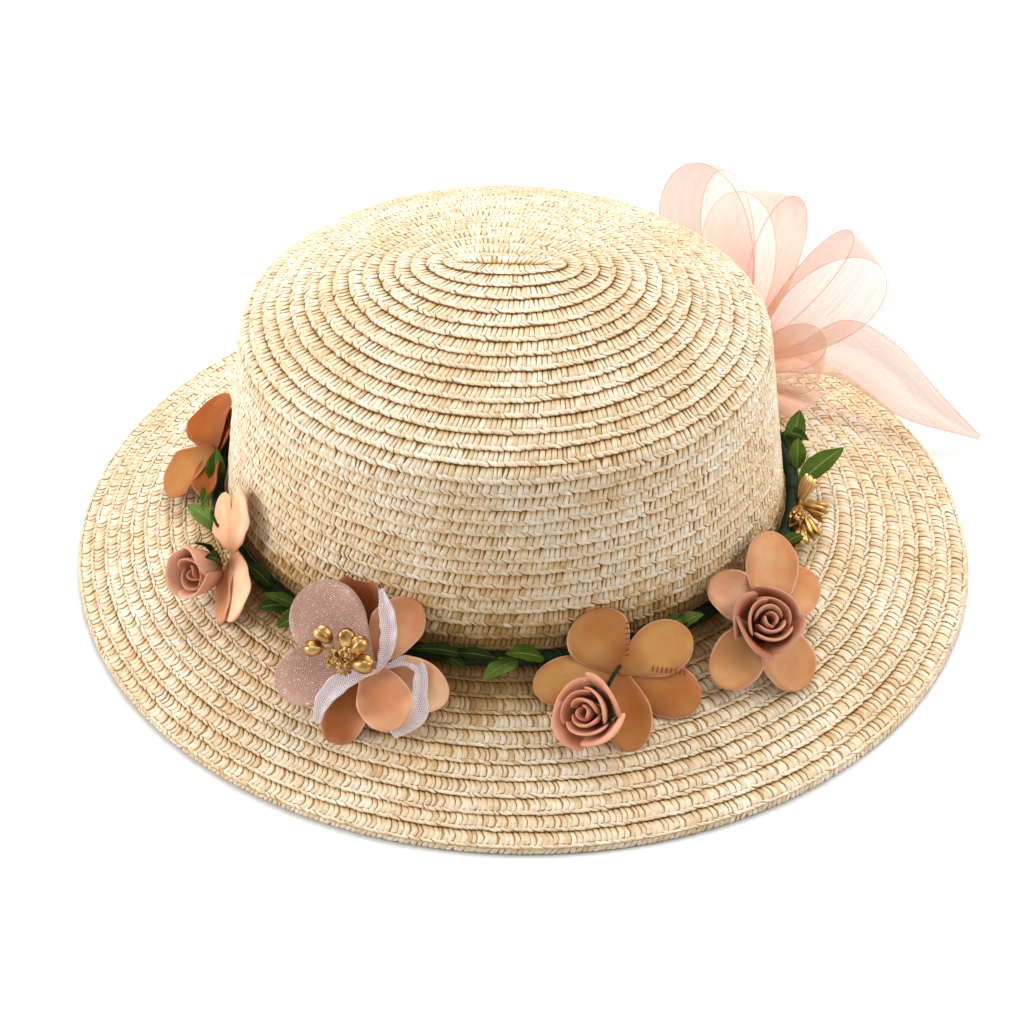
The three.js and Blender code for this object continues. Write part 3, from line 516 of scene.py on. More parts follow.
def brim_line():
    """Top of the collar, round the turn in a three-point curve, and down the slope to the rim."""
    t = np.linspace(0, 1, 30)
    out = FOOT_RADIUS + TURN_RISE
    slope = STRAW + (FOOT_HEIGHT - STRAW) * (RIM_RADIUS - out) / BRIM_WIDTH
    corners = [(wall_radius(COLLAR_HEIGHT), COLLAR_HEIGHT), (FOOT_RADIUS, FOOT_HEIGHT - 0.6), (out, slope)]
    bend = np.stack([(1 - t) ** 2, 2 * t * (1 - t), t ** 2], -1) @ np.array(corners)
    return even_line(*np.append(bend, [(RIM_RADIUS, STRAW)], 0).T)


# uneven is how much the stitches' widths differ, and foot_row the row at the wall's foot, where the painted shade is
# deepest
CROWN = dict(crown_line(), rows=CROWN_ROWS, crown=True, foot_row=CROWN_ROWS - 1, uneven=0.16)
BRIM = dict(brim_line(), rows=BRIM_ROWS, crown=False, foot_row=1, uneven=0.1)
RIM = dict(even_line(np.full(2, RIM_RADIUS), np.array([STRAW + 0.3, 0.0])), rows=1, crown=False, foot_row=99,
           uneven=0.1)


def straw_point(part, share, turn, lift):
    """A place on the straw: share runs along the line, turn round the oval, lift out of the surface in mm."""
    at = np.clip(share, 0, 1) * (len(part["r"]) - 1)
    low = np.minimum(at.astype(int), len(part["r"]) - 2)
    rest = at - low
    r, z, nr, nz = (part[k][low] * (1 - rest) + part[k][low + 1] * rest for k in ("r", "z", "nr", "nz"))
    down = 1.0 if part["crown"] else np.clip(z / FOOT_HEIGHT, 0, 1)
    return on_oval(np.maximum(r + nr * lift, 0), turn, z + nz * lift, down)


def straw_shell(part, around):
    """The braid's body: every row rises from under the last one to stand over the next, and the inside is even."""
    rows = part["rows"]
    row_share = np.array([0.0, 0.15, 0.55, 0.93, 1.0])
    row_lift = np.array([-0.45, -0.1, 0.3, 0.5, 0.15]) * ROW_STEP
    outer = ((np.arange(rows)[:, None] + row_share) / rows).ravel()
    inner = np.linspace(1, 0, 3 * rows + 1)
    share = np.concatenate([outer, inner])
    lift = np.concatenate([np.tile(row_lift, rows), -STRAW - 0.25 * np.cos(inner * rows * TAU)])
    down_map = share * rows
    if not part["crown"]:
        share = np.clip(share, 0, 0.9999)
        down_map = np.minimum(share * rows, rows - 0.3)
    turn = TAU * np.arange(around) / around
    grid = straw_point(part, share[:, None], turn, lift[:, None])
    grid[..., 2] = np.maximum(grid[..., 2], 0.0)
    stitches = np.round(part["r"][(share * (len(part["r"]) - 1)).astype(int)] * TAU / 2.7)
    uv = np.stack(np.broadcast_arrays(stitches[:, None] * turn / TAU, down_map[:, None]), -1)
    faces = grid_faces(len(share), around, round_rows=not part["crown"], round_columns=True)
    # The ground's tone: the wall's outside shows only the painted shade between stitches, the tip and brim mix it 0.45
    # with tan, and the inside is all tan
    depth = np.where((share > 0.5) & part["crown"], 0.0, 0.45)
    depth[len(outer):] = 1.0
    return outwards(block(grid, faces, uv, np.repeat(depth, around)))


# A stitch has two legs of plump straw: a long one that comes down from under the row above, and a short one
# that twists along the row's lower edge like a cord. lean is how far round the hat each of five places down
# the leg lies, in stitches, and taper is its width there. start and end are shares of the row, fat is half the
# leg's width in stitches, high its height in mm, base its lift and pale how far its map stays off the painted shade at
# its sides and ends.
LEG_RING = np.array([(-1, 0), (-0.7, 0.82), (0.7, 0.82), (1, 0), (0, -0.8)])
# How far each ring point stays from the painted shade at a leg's sides: 0 is darkest, and the right side is painted
# darker than the left as shadow
RING_SHADE = np.array([0.25, 1, 1, 0, 0])
ALONG = np.array([0.0, 0.2, 0.52, 0.84, 1.0])
CORD = dict(start=0.74, end=1.03, lean=(-0.35, -0.08, 0.28, 0.62, 0.85), taper=(0, 0.9, 1, 0.95, 0), fat=0.6,
            high=0.28, base=0.32, pale=0.45)
CRESCENTS = [
    dict(start=-0.15, end=0.86, lean=(-0.34, 0.14, 0.5, 0.26, -0.3), taper=(0, 0.92, 0.95, 1.08, 0), fat=0.54,
         high=0.34, base=0.16, pale=0.0), CORD,
]
SLANTS = [
    dict(start=-0.12, end=0.8, lean=(0.34, 0.32, 0.16, -0.04, -0.12), taper=(0, 0.88, 0.9, 1.1, 0), fat=0.54,
         high=0.36, base=0.18, pale=0.0), dict(CORD, start=0.62),
]
RIM_CORD = [
    dict(start=-0.1, end=1.0, lean=(0.5, 0.3, 0, -0.3, -0.5), taper=(0, 0.9, 1, 0.9, 0), fat=0.54, high=0.3,
         base=-0.15, pale=0.4),
]
LEG_POINTS = 17
TOASTED_SHARE = 0.015
THIN_SHARE = 0.05


def leg_faces():
    """A leg's triangles: a point, three rings of five and a point."""
    side = np.arange(5)
    after = (side + 1) % 5
    faces = [np.stack([np.zeros(5, int), 1 + after, 1 + side], -1)]
    for ring in (1, 6):
        faces.append(np.stack([ring + side, ring + after, ring + 5 + after], -1))
        faces.append(np.stack([ring + side, ring + 5 + after, ring + 5 + side], -1))
    return np.concatenate([*faces, np.stack([np.full(5, 16), 11 + side, 11 + after], -1)])


def wave(turn, number):
    """A smooth uneven line round the hat, between about -1 and 1: three sines of different pace."""
    return (0.5 * np.sin(3 * turn + number * 1.7) + 0.3 * np.sin(8 * turn + number * 2.9)
            + 0.25 * np.sin(19 * turn + number * 0.8))


def stitch_legs(part, rows, pitch, legs, number):
    """Every leg of every stitch in these rows: rings of five points about a leaning middle line, closed to points
    at both ends. Widths vary from stitch to stitch, and each row wanders a little up and down."""
    turn = np.linspace(0, TAU, 1441)
    chance = np.random.default_rng(number)
    starts, row_of, lengths, tables = [], [], [], {}
    for row in rows:
        tables[row] = distance(straw_point(part, (row + 0.55) / part["rows"], turn, 0.0))
        count = max(int(round(tables[row][-1] / pitch)), 8)
        width = np.clip(chance.normal(1, part["uneven"], count), 0.6, 1.5)
        width *= tables[row][-1] / width.sum()
        starts.append(np.cumsum(width) - width / 2)
        row_of.append(np.full(count, row))
        lengths.append(width)
    starts, row_of, lengths = map(np.concatenate, (starts, row_of, lengths))
    n = len(starts)
    around = starts / np.array([tables[row][-1] for row in row_of]) * TAU
    drift = 0.05 * wave(around, row_of * 1.3)
    blocks = []
    for leg in legs:
        thin = np.where(chance.random(n) < THIN_SHARE, 0.6, 1.0)
        wide = leg["fat"] * chance.uniform(0.9, 1.08, n) * thin
        high = leg["high"] * chance.uniform(0.6, 1.3, n) * thin
        tilt = chance.normal(0, 0.13, n)
        sway = chance.uniform(0.5, 1.4, n)
        places = leg["start"] + (leg["end"] - leg["start"]) * ALONG
        places = places + (drift + chance.normal(0, 0.025, n))[:, None]
        lean = sway[:, None] * np.array(leg["lean"]) + tilt[:, None] * (ALONG - 0.5)
        body = np.array(leg["taper"])
        across = LEG_RING[:, 0] * (body * wide[:, None] * lengths[:, None])[..., None]
        rise = LEG_RING[:, 1] * (body * high[:, None])[..., None]
        run = (starts[:, None] + lengths[:, None] * lean)[..., None] + across
        lift = (ROW_STEP * (np.clip(places, 0, 1) - 0.4) + leg["base"])[..., None] + rise
        share = (row_of[:, None] + places) / part["rows"]
        turns = np.empty_like(run)
        for row in rows:
            mine = row_of == row
            turns[mine] = np.interp(np.mod(run[mine], tables[row][-1]), tables[row], turn)
        points = straw_point(part, np.broadcast_to(share[..., None], run.shape), turns, lift)
        points[..., 2] = np.maximum(points[..., 2], 0.05)
        kept = np.concatenate([points[:, 0, :1], points[:, 1:4].reshape(n, 15, 3), points[:, 4, :1]], 1)
        template = outwards(block(kept[0], leg_faces()))["faces"]
        faces = (template + LEG_POINTS * np.arange(n)[:, None, None]).reshape(-1, 3)
        # u and v carry the painted shade at each leg's sides and ends, and pale keeps that much of it off
        v = leg["pale"] + (1 - leg["pale"]) * np.concatenate([[0], np.repeat(ALONG[1:4], 5), [1]])
        u = leg["pale"] + (1 - leg["pale"]) * np.concatenate([[0.3], np.tile(RING_SHADE, 3), [0.5]])
        # Painted shade: each stitch's tone falls near the wall's foot, more so and over more rows at the front, where
        # the crown shades the brim from the lamp behind
        near_foot, front = np.abs(part["foot_row"] - row_of), np.clip(-np.sin(around), 0, 1)
        tone = 0.62 - (0.5 + 0.25 * front) * np.exp(-near_foot / (1.2 + 1.8 * front))
        tone += 0.12 * wave(around * 2, row_of * 0.9 + 3) + chance.normal(0, 0.1, n)
        tone = np.clip(np.where(chance.random(n) < TOASTED_SHARE, 0.28, tone), 0, 1)
        uv = np.broadcast_to(np.stack([u, v], -1), (n, LEG_POINTS, 2))
        blocks.append(block(kept, faces, uv, np.repeat(tone, LEG_POINTS)))
    return blocks


# name, part, rows, pitch of the stitches in mm, legs
BRAIDS = [
    ("tip_inner_braid", CROWN, range(0, 7), 1.8, SLANTS), ("tip_outer_braid", CROWN, range(7, 14), 1.8, SLANTS),
    ("wall_upper_braid", CROWN, range(14, 21), 1.98, SLANTS), ("wall_lower_braid", CROWN, range(21, 28), 1.98, SLANTS),
    ("brim_inner_braid", BRIM, range(1, 7), 2.0, CRESCENTS), ("brim_outer_braid", BRIM, range(7, 12), 2.0, CRESCENTS),
    ("rim_braid", RIM, range(1), 2.0, RIM_CORD),
]


def make_straw():
    """The two shells of straw and the stitches that stand on them."""
    add_piece("crown_braid_ground", [straw_shell(CROWN, 180)], STRAW_GROUND, ["crown"])
    add_piece("brim_braid_ground", [straw_shell(BRIM, 240)], STRAW_GROUND, ["brim"])
    for number, (name, part, rows, pitch, legs) in enumerate(BRAIDS):
        add_piece(name, stitch_legs(part, rows, pitch, legs, number + 11), STRAW_LOBES, merge=False)


# The garland


def beside_wall(turn, out, height):
    """A place by the foot of the crown, out mm from it at that turn in degrees."""
    return on_oval(FOOT_RADIUS + out, math.radians(turn), height)


def in_flower(flower, *place):
    """A place in a flower's own axes: so far to its right, up and before it."""
    return along_axes(flower["middle"], flower["axes"], *place)


WIDEST = 0.6
NECK = 1.0


def petal_grid(flower, petal, rows=13, columns=11):
    """A petal: half width swells from a neck to its widest place and closes round like an ellipse. The middle
    line climbs by tilt and bends by curl, the sides rise by cup, and the rim waves a little."""
    side, rise, face = flower["axes"]
    ahead = turned(side, rise, petal["heading"])
    v, u = np.sin(np.linspace(0, np.pi / 2, rows))[:, None], np.linspace(-1, 1, columns)
    swell = 0.2 + 0.8 * np.sin(np.pi / 2 * np.clip(v / WIDEST, 0, 1)) ** 1.3
    close = np.sqrt(np.clip(1 - ((v - WIDEST) / (1 - WIDEST)) ** 2, 0, 1))
    half = petal["width"] / 2 * np.where(v < WIDEST, swell, close)
    reach = (petal["length"] + NECK) * v - NECK
    edge = u ** 2 * np.sin(np.pi * v)
    ripple = petal.get("ripple", flower.get("ripple", 0.8)) * np.sin(5 * v * np.pi + petal["heading"]) * edge
    lift = (petal["sink"] + math.tan(math.radians(petal["tilt"])) * reach + petal["cup"] * edge
            + petal["curl"] * v ** 3 + ripple)
    return along_axes(flower["middle"], (ahead, np.cross(face, ahead), face), reach, u * half, lift)


FLOWERS = [
    dict(name="flower_1", turn=174, out=6.5, height=37, compass=185, climb=50),
    dict(name="flower_2", turn=-151.2, out=8, height=38.8, compass=200, climb=20),
    dict(name="flower_3", turn=-112.5, out=16.5, height=33.5, compass=-105, climb=48, ripple=2.0),
    dict(name="flower_4", turn=-68.2, out=14, height=31.5, compass=-80, climb=48),
    dict(name="flower_5", turn=-39.2, out=20, height=30.5, compass=-50, climb=55),
]

# flower, heading, length, width, tilt, cup, curl, sink, tone
PETALS = [
    (0, 178, 26, 23, 4, 2.5, -1, 0, 0.45), (0, 146, 19, 13, 5, 2, -1, -2, 0.1), (0, 289, 24, 24, 3, 2, -1, 0.6, 0.85),
    (0, 355, 24, 13, 3, 4, 1, -1, 0.2),
    (1, 101, 25, 17, 5, -1, 0, 0.6, 0.95), (1, 162, 23, 18, 4, 2, 0, -1, 0.8), (1, -31, 26, 24, 7, -2, -1, 0, 0.95),
    (1, -50, 26, 13, 10, 2, 0, -1, 0.45),
    (2, 114, 32, 22, 6, 3, -2, -1.6, 0.1), (2, 141, 32, 22, 8, 2.2, -1, 0, 0.45), (2, 62, 28, 19, 6, 4, -1, -1, 0.55),
    (2, -12, 31, 19, 1, 3, 0, -1.2, 0.8), (2, -50, 26, 20, 9, 2.5, -1, 1.4, 0.55),
    (2, -103, 31, 18, 1, 3, -1, -1.4, 0.28), (2, -152, 30, 18, 6, 1.5, 0, -1, 0.45),
    (3, 117, 23, 24, 9, -1, -2, 0, 0.42), (3, 20, 28, 20, 6, -1, -2, 0.4, 0.6), (3, -29, 31, 20, 3, -1, -2, -1, 0.27),
    (3, -88, 29, 18, 10, 2, -1, -1, 0.16), (3, 187, 31, 18, 3, -1, -1, -1, 0.5),
    (4, 53, 33, 21, 5, 2, -1, 0.9, 0.82), (4, 116, 25, 19, 5, 3, -1, 0, 1.0), (4, 12, 28, 18, 2, 2, 0, -1.4, 0.8),
    (4, -160, 31, 20, 2, 2, -1, 0, 0.74), (4, -92, 27, 22, 2, 2, -1, 0, 0.78),
]
PETAL_KEYS = ("heading", "length", "width", "tilt", "cup", "curl", "sink", "tone")
FOAMS = [(ORANGE_FOAM, "foam_orange"), (PEACH_FOAM, "foam_peach"), (PEACH_FOAM, "foam_peach"),
         (TAN_FOAM, "foam_tan"), (TAN_FOAM, "foam_tan")]

# petals in a ring, radius, wrap in degrees, tallness, flare of the lip, tone; radius and tallness are shares
ROSE_RINGS = [
    (2, 0.20, 190, 0.94, 0.0, 0.15), (2, 0.40, 165, 1.00, 0.02, 0.1), (3, 0.64, 132, 0.96, 0.06, 0.2),
    (4, 0.93, 108, 0.80, 0.2, 0.3),
]
BUD_RINGS = [(2, 0.26, 190, 0.70, 0.0, -0.5), (3, 0.58, 150, 0.80, 0.02, -0.25), (3, 0.92, 140, 1.00, 0.1, 0.45)]
ROSES = [
    dict(name="flower_2_bud", turn=-152.6, out=15.3, height=30, compass=218, climb=24, radius=9.5, tall=15.5,
         rings=BUD_RINGS, first=70, tone=0.5, fade=1.0),
    dict(name="flower_4_rose", turn=-74.3, out=26.4, height=25, compass=-122, climb=42, radius=12, tall=12.5,
         rings=ROSE_RINGS, first=40, tone=0.45, fade=1.6),
    dict(name="flower_5_rose", turn=-41.2, out=22.9, height=33.6, compass=-60, climb=58, radius=12, tall=10.5,
         rings=ROSE_RINGS, first=10, tone=0.45, fade=-1.2),
]

# Each bloom's middle, and its axes: to its right, to its top and out of its face
for bloom in FLOWERS + ROSES:
    bloom["middle"] = beside_wall(bloom["turn"], bloom["out"], bloom["height"])
    sideways, outward = turned(Y, -X, bloom["compass"]), turned(turned(X, Y, bloom["compass"]), Z, bloom["climb"])
    bloom["axes"] = sideways, np.cross(outward, sideways), outward


def stem_seat(turn, towards):
    """The place on the stem's skin that faces a point."""
    core = beside_wall(turn, STEM_OUT, STEM_HEIGHT)
    return core + unit(towards - core) * (STEM_RADIUS + 0.2)


# where a row of pleats starts and ends in the fourth flower, half of each pleat, and how many there are
PLEAT_ROWS = [
    ((11.5, -1.2, 2.0), (22.5, -3.8, 1.6), (0.35, 1.0, 0), 8), ((3.0, 4.5, 2.2), (4.3, 15.5, 3.4), (0.75, 0.1, 0), 7),
]


def pressed_ticks(flower):
    """Two rows of short dark pleats pressed into the rims of the upper petals: each is a thin rod, with the map
    set to the dark heart of the foam."""
    parts = []
    for start, end, half, count in PLEAT_ROWS:
        for middle in np.linspace(start, end, count):
            ends = in_flower(flower, *(middle - half)), in_flower(flower, *(middle + half))
            parts.append(tube_block(np.linspace(*ends, 4), 0.28, 6, tone=0.0))
            parts[-1]["uv"][:] = (0.5, 0.02)
    return parts


def make_petals():
    """Each flower's petals of cut foam, with the wired stalk that joins them to the stem."""
    for number, (flower, (material, slot)) in enumerate(zip(FLOWERS, FOAMS)):
        petals = [dict(zip(PETAL_KEYS, values)) for whose, *values in PETALS if whose == number]
        parts = [sheet_block(petal_grid(flower, petal), 1.3, tone=petal["tone"]) for petal in petals]
        seat = stem_seat(flower["turn"], flower["middle"])
        parts.append(tube_block(np.linspace(flower["middle"], seat, 6), 1.3, tone=0.1))
        if flower["name"] == "flower_4":
            parts += pressed_ticks(flower)
        add_piece(f"{flower['name']}_foam", parts, material, [f"{flower['name']}_petals"], levels=1)


def rose_petal(rose, turn, low, radius, wrap, tall, flare):
    """One petal of a rolled rose: part of a cup whose radius swells with height, one side tucked in and the other
    out, with a lip that flares and drops at its corners."""
    radius, tall, flare = radius * rose["radius"], tall * rose["tall"], flare * rose["radius"]
    v, u = np.linspace(0, 1, 11)[:, None], np.linspace(-1, 1, 15)
    angle = math.radians(turn) + math.radians(wrap) / 2 * u
    swell = 0.42 + 0.58 * np.sin(np.pi / 2 * v ** 0.7)
    flat = 0.93 + 0.10 * u ** 2 + 0.09 * u
    ring = radius * swell * flat + flare * v ** 5 * (1 - 0.4 * u ** 2) * (1 + 0.3 * np.cos(3 * angle))
    corner = 1 - 0.26 * np.abs(u) ** 3
    height = tall * v * corner - 0.5 * flare * v ** 9 + low * rose["tall"]
    height = height + 0.05 * tall * np.sin(2 * angle + turn) * v ** 2
    return in_flower(rose, ring * np.cos(angle), ring * np.sin(angle), height)


def make_roses():
    """Two roses and a bud of foam: rings of overlapping petals round a tight rolled heart."""
    for rose in ROSES:
        parts, turn = [], rose["first"]
        for count, radius, wrap, tall, flare, tone in rose["rings"]:
            for k in range(count):
                tint = np.clip(rose["tone"] + tone * rose["fade"] + 0.1 * math.sin(2.3 * turn), 0, 1)
                petal = rose_petal(rose, turn, -0.06 * k, radius, wrap, tall, flare)
                parts.append(sheet_block(petal, 1.25, tone=tint))
                turn += 360 / count + 7
            turn += 48
        add_piece(f"{rose['name']}_rolled", parts, ROSE_FOAM, [rose["name"]], levels=1)


NARROWEST_CUT = 0.0101  # metres; the gauze strips are cut at least this wide and then gathered


def cut_of(grid):
    """A sheet's flat size from its own grid: greatest width, greatest length and area, in metres."""
    width = np.linalg.norm(np.diff(grid, axis=1), axis=-1).sum(1).max()
    length = np.linalg.norm(np.diff(grid, axis=0), axis=-1).sum(0).max()
    a, b = np.diff(grid, axis=0)[:, :-1], np.diff(grid, axis=1)[:-1]
    area = np.linalg.norm(np.cross(a, b), axis=-1).sum()
    return (width * MM, length * MM), area * MM * MM


def map_in_mm(grid):
    """A sheet's map: distance across and along it in millimetres."""
    x = np.linalg.norm(np.diff(grid, axis=1, prepend=grid[:, :1]), axis=-1).cumsum(1)
    y = np.linalg.norm(np.diff(grid, axis=0, prepend=grid[:1]), axis=-1).cumsum(0)
    return np.stack([x, y], -1)


def add_cloth(name, grid, thickness, material, instead=(), tone=0.5):
    """One sheet of cloth, a closed thin body on its own grid. Its flat size and area are measured from the grid and
    then not used.
    """
    part = sheet_block(grid, thickness, uv=map_in_mm(grid), tone=tone, edge=1.0)
    piece = add_piece(name, [part], material, instead)
    flat, area = cut_of(grid)
    flat = (max(flat[0], NARROWEST_CUT), flat[1])


# Each strip of gauze: places (right, up, before) in the third flower's own axes, and its width at each
GAUZE_STRIPS = [
    dict(name="flower_3_gauze_upper", width=[1.4, 5.0, 6.2, 5.5, 1.6], lean=12,
         path=[(5.0, -2, 4.5), (6.9, 4, 7.5), (7.4, 11, 10), (5.4, 18.6, 12), (1.4, 26, 11.5)]),
    dict(name="flower_3_gauze_left", width=[1.4, 6.0, 7.0, 5.5, 2.5], lean=-20,
         path=[(4.9, -2, 4), (-1.5, -4.8, 8), (-7, -10, 9), (-11, -17, 8), (-12, -24, 5)]),
    dict(name="flower_3_gauze_right", width=[1.4, 4.0, 4.5, 5.5, 9.5, 5.0], lean=-14,
         path=[(6.4, -0.6, 2.4), (13, 3.6, 2), (19, 1.7, 1.6), (20.5, -6, 1.8), (20.5, -14, 2.4), (14, -22, 3)]),
]
VEILS = [
    ("flower_3_veil", dict(heading=143, length=34, width=27, tilt=10, cup=4.2, curl=-1, sink=1.0, ripple=0.7)),
    ("flower_3_low_veil", dict(heading=-155, length=33, width=22, tilt=8, cup=3.2, curl=0, sink=0, ripple=0.7)),
]


def strip_grid(flower, strip, rows=33, columns=11):
    """A gathered strip along a smooth path: level with the flower's face but leaning, with a fold down its middle
    and a frill along its edges."""
    path = smooth_path(strip["path"], rows) @ np.array(flower["axes"]) + flower["middle"]
    width = np.interp(np.linspace(0, 1, rows), np.linspace(0, 1, len(strip["width"])), strip["width"])
    ahead, face = unit(np.gradient(path, axis=0)), flower["axes"][2]
    level = np.cross(face, ahead)
    across, top = turned(level, face, strip["lean"]), np.cross(ahead, level)
    u, v = np.linspace(-1, 1, columns), np.linspace(0, 1, rows)[:, None]
    frill = 0.7 * np.sin(v * 31 + u * 1.5) * u ** 2 * np.sin(np.pi * v)
    fold = 1.3 * (np.abs(u) - 0.4) * np.sin(np.pi * v) ** 0.6
    return along_axes(path[:, None], (across[:, None], top[:, None]), u * width[:, None] / 2, frill + fold)


def make_gauze():
    """Folded strips of gauze that rise from one twist, and the veils over the two mauve petals."""
    for number, strip in enumerate(GAUZE_STRIPS):
        add_cloth(strip["name"], strip_grid(FLOWERS[2], strip), 0.35, LILAC_GAUZE,
                  [] if number else ["flower_3_gauze"])
    for name, petal in VEILS:
        add_cloth(name, petal_grid(FLOWERS[2], petal, 21, 15), 0.3, MAUVE_GAUZE)


def drop_block(middle, axis, radius, length, groove=0.0, tone=0.5):
    """A drop-shaped seed: a ball stretched along its axis, fuller towards its tip, with a pressed groove."""
    axis = unit(axis)
    side = unit(np.cross(axis, Z if abs(axis[2]) < 0.9 else X))
    v, u = np.linspace(0, np.pi, 13)[:, None], TAU * np.arange(16) / 16
    ring = np.sin(v) * (1 - 0.22 * np.cos(v)) * radius * (1 - groove * np.exp(-((u - np.pi) / 0.35) ** 2))
    grid = along_axes(middle, (axis, side, np.cross(axis, side)), -np.cos(v) * length / 2, ring * np.sin(u),
                      ring * np.cos(u))
    return outwards(block(grid, grid_faces(13, 16, round_columns=True), None, tone))


# middle (right, up, before), radius, and the way it points in the flower's face in degrees
PEARLS = [
    ((-14.6, 6.2, 13), 3.1, 150), ((-17.0, 1.0, 13), 2.9, 195), ((-6.4, 6.6, 13), 3.1, 100), ((-1.9, 5.0, 13), 3.3, 55),
    ((1.0, -0.8, 12.5), 3.5, 10),
]
COILS = [((-8.3, 0.8, 12.5), 2.9), ((-5.0, 2.6, 13), 2.4), ((-5.6, -3.2, 12), 2.9), ((-10.5, -2.4, 11.5), 2.2)]
PODS = [(-2, 8, 36), (-6.5, 12, 33.5), (-11, 11.5, 31), (-10.5, 6.5, 36), (-14, 9, 32)]


def bent_wire(start, end, bow, count=14):
    """A wire from start to end that bows sideways by that many millimetres."""
    share = np.linspace(0, 1, count)[:, None]
    return start * (1 - share) + end * share + np.asarray(bow) * np.sin(np.pi * share)


def bead_coil(middle, axes, radius, turns, bead, count):
    """Small beads threaded along a spiral that climbs as it turns."""
    angle = np.linspace(0, turns * TAU, count)
    r = radius * (0.35 + 0.65 * angle / angle[-1])
    points = along_axes(middle, axes, r * np.cos(angle), r * np.sin(angle), 0.7 * np.sin(angle * 3) - 0.12 * angle)
    return [drop_block(p, axes[2], bead, 2 * bead) for p in points]


def ribbed_pod(root, end, radius):
    """A seed pod: six plump ribs round its axis, one of them standing a little open."""
    axis = unit(end - root)
    side = unit(np.cross(axis, Z))
    parts = [drop_block(end, axis, radius * 0.7, radius * 4.2, 0, 0.3)]
    for k in range(6):
        out = turned(side, np.cross(axis, side), 60 * k)
        place = end + out * radius * (0.95 if k == 1 else 0.62) + axis * 0.5 * math.sin(2 * k)
        parts.append(drop_block(place, axis + out * (0.45 if k == 1 else 0.12), 1.1, radius * 3.5, 0.3, 0.7))
    return parts


def make_gold():
    """The third flower's gold stamens, and the sprig of gold pods on the right."""
    flower = FLOWERS[2]
    right, up, before = flower["axes"]
    heart, start = in_flower(flower, -8, 0, 9.5), in_flower(flower, -3, -1, 3.9)
    parts = [tube_block(bent_wire(start, heart, up), 1.1)]
    for place, size, turn in PEARLS:
        end, axis = in_flower(flower, *place), turned(right, up, turn) + before * 0.35
        parts.append(tube_block(bent_wire(heart, end - axis * size, before), 0.5, 6))
        parts.append(drop_block(end, axis, size, size * 2.5, 0.42))
    for place, radius in COILS:
        parts += bead_coil(in_flower(flower, *place), flower["axes"], radius, 2.2, 0.62, 24)
    add_piece("flower_3_gold_stamens", parts, GOLD, ["flower_3_stamens"])
    root, parts = stem_seat(-5, beside_wall(-6, 13, 36)), []
    for place in PODS:
        end = beside_wall(*place)
        parts.append(tube_block(bent_wire(root, end, (0, 0, 1.2)), 0.5, 6))
        parts += ribbed_pod(root, end, 2.6)
    add_piece("gold_pod_sprig", parts, GOLD, ["gold_pods"])


def make_stem():
    """The taped stem: a rod along the oval at the wall's foot, whose thickness swells a little every few mm."""
    turn, ring = np.linspace(0, TAU, 361)[:-1, None], TAU * np.arange(10) / 10
    thick = STEM_RADIUS * (1 + 0.05 * np.sin(turn * 67) + 0.04 * np.sin(turn * 23 + 1))
    grid = on_oval(FOOT_RADIUS + STEM_OUT + thick * np.cos(ring), turn, STEM_HEIGHT + thick * np.sin(ring))
    uv = np.stack(np.broadcast_arrays(np.arange(10) / 10, turn * 96), -1)
    part = outwards(block(grid, grid_faces(360, 10, True, True), uv))
    add_piece("garland_stem_taped", [part], STEM_TAPE, ["garland_stem"])


# turn, heading, climb, length, width, tone, seat
LEAVES = [
    (-176.5, 186, 60, 13, 7.5, 0.45, 75), (-176, 14, 18, 15, 5, 0.5, 35), (-161, 156, 4, 19, 9, 0.75, 35),
    (-131, 161, 18, 15, 5.5, 0.35, 35), (-133, 138, 0, 13, 9, 0.15, 35), (-129, 112, 6, 13, 9, 0.4, 35),
    (-101, 24, 2, 12, 5, 0.15, 35), (-86, 143, 4, 16, 8, 0.65, 35), (-81, 176, 22, 15, 8.5, 0.4, 35),
    (-63, 4, 42, 11, 5.5, 0.2, 35), (-54, 12, 26, 11, 6.5, 0.6, 35), (-58, 44, 2, 12, 6.5, 0.2, 35),
    (12, 24, 18, 18, 7.5, 0.4, 35), (6, 8, 34, 12, 6.5, 0.5, 35), (1, 48, 12, 23, 9.5, 0.5, 35),
    (-20, 30, 6, 10, 5.5, 0.35, 35),
]

# The same columns again: small leaves that have no solid of their own
SMALL_LEAVES = [
    (-96, 172, 12, 20, 6, 0.1, 60), (-99, 8, 10, 18, 5.5, 0.05, 60), (-124, 8, 12, 17, 6.5, 0.1, 50),
    (-140, 172, 20, 14, 6, 0.1, 60), (-168, 10, 20, 15, 5.5, 0.2, 70), (-51, 172, 24, 13, 6, 0.3, 60),
    (-28, 10, 24, 14, 6, 0.15, 60), (-24, 150, 14, 12, 6, 0.3, 50), (18, 150, 20, 13, 6, 0.1, 60),
    (24, 12, 22, 15, 6, 0.2, 60), (60, 10, 15, 16, 6, 0.3, 50), (84, 165, 18, 15, 6, 0.2, 50),
    (110, 12, 15, 16, 6.5, 0.4, 50), (136, 160, 20, 14, 6, 0.3, 50), (160, 14, 22, 14, 6, 0.2, 60),
]

# Sepals behind the bud and the fourth flower's rose: which bloom, turn in its face, length, width, tone
SEPALS = [(0, 62, 15, 6, 0.15), (0, 118, 10, 5, 0.1), (1, 62, 8, 5, 0.8), (1, 10, 9, 4.5, 0.8), (1, 116, 7, 4, 0.75)]


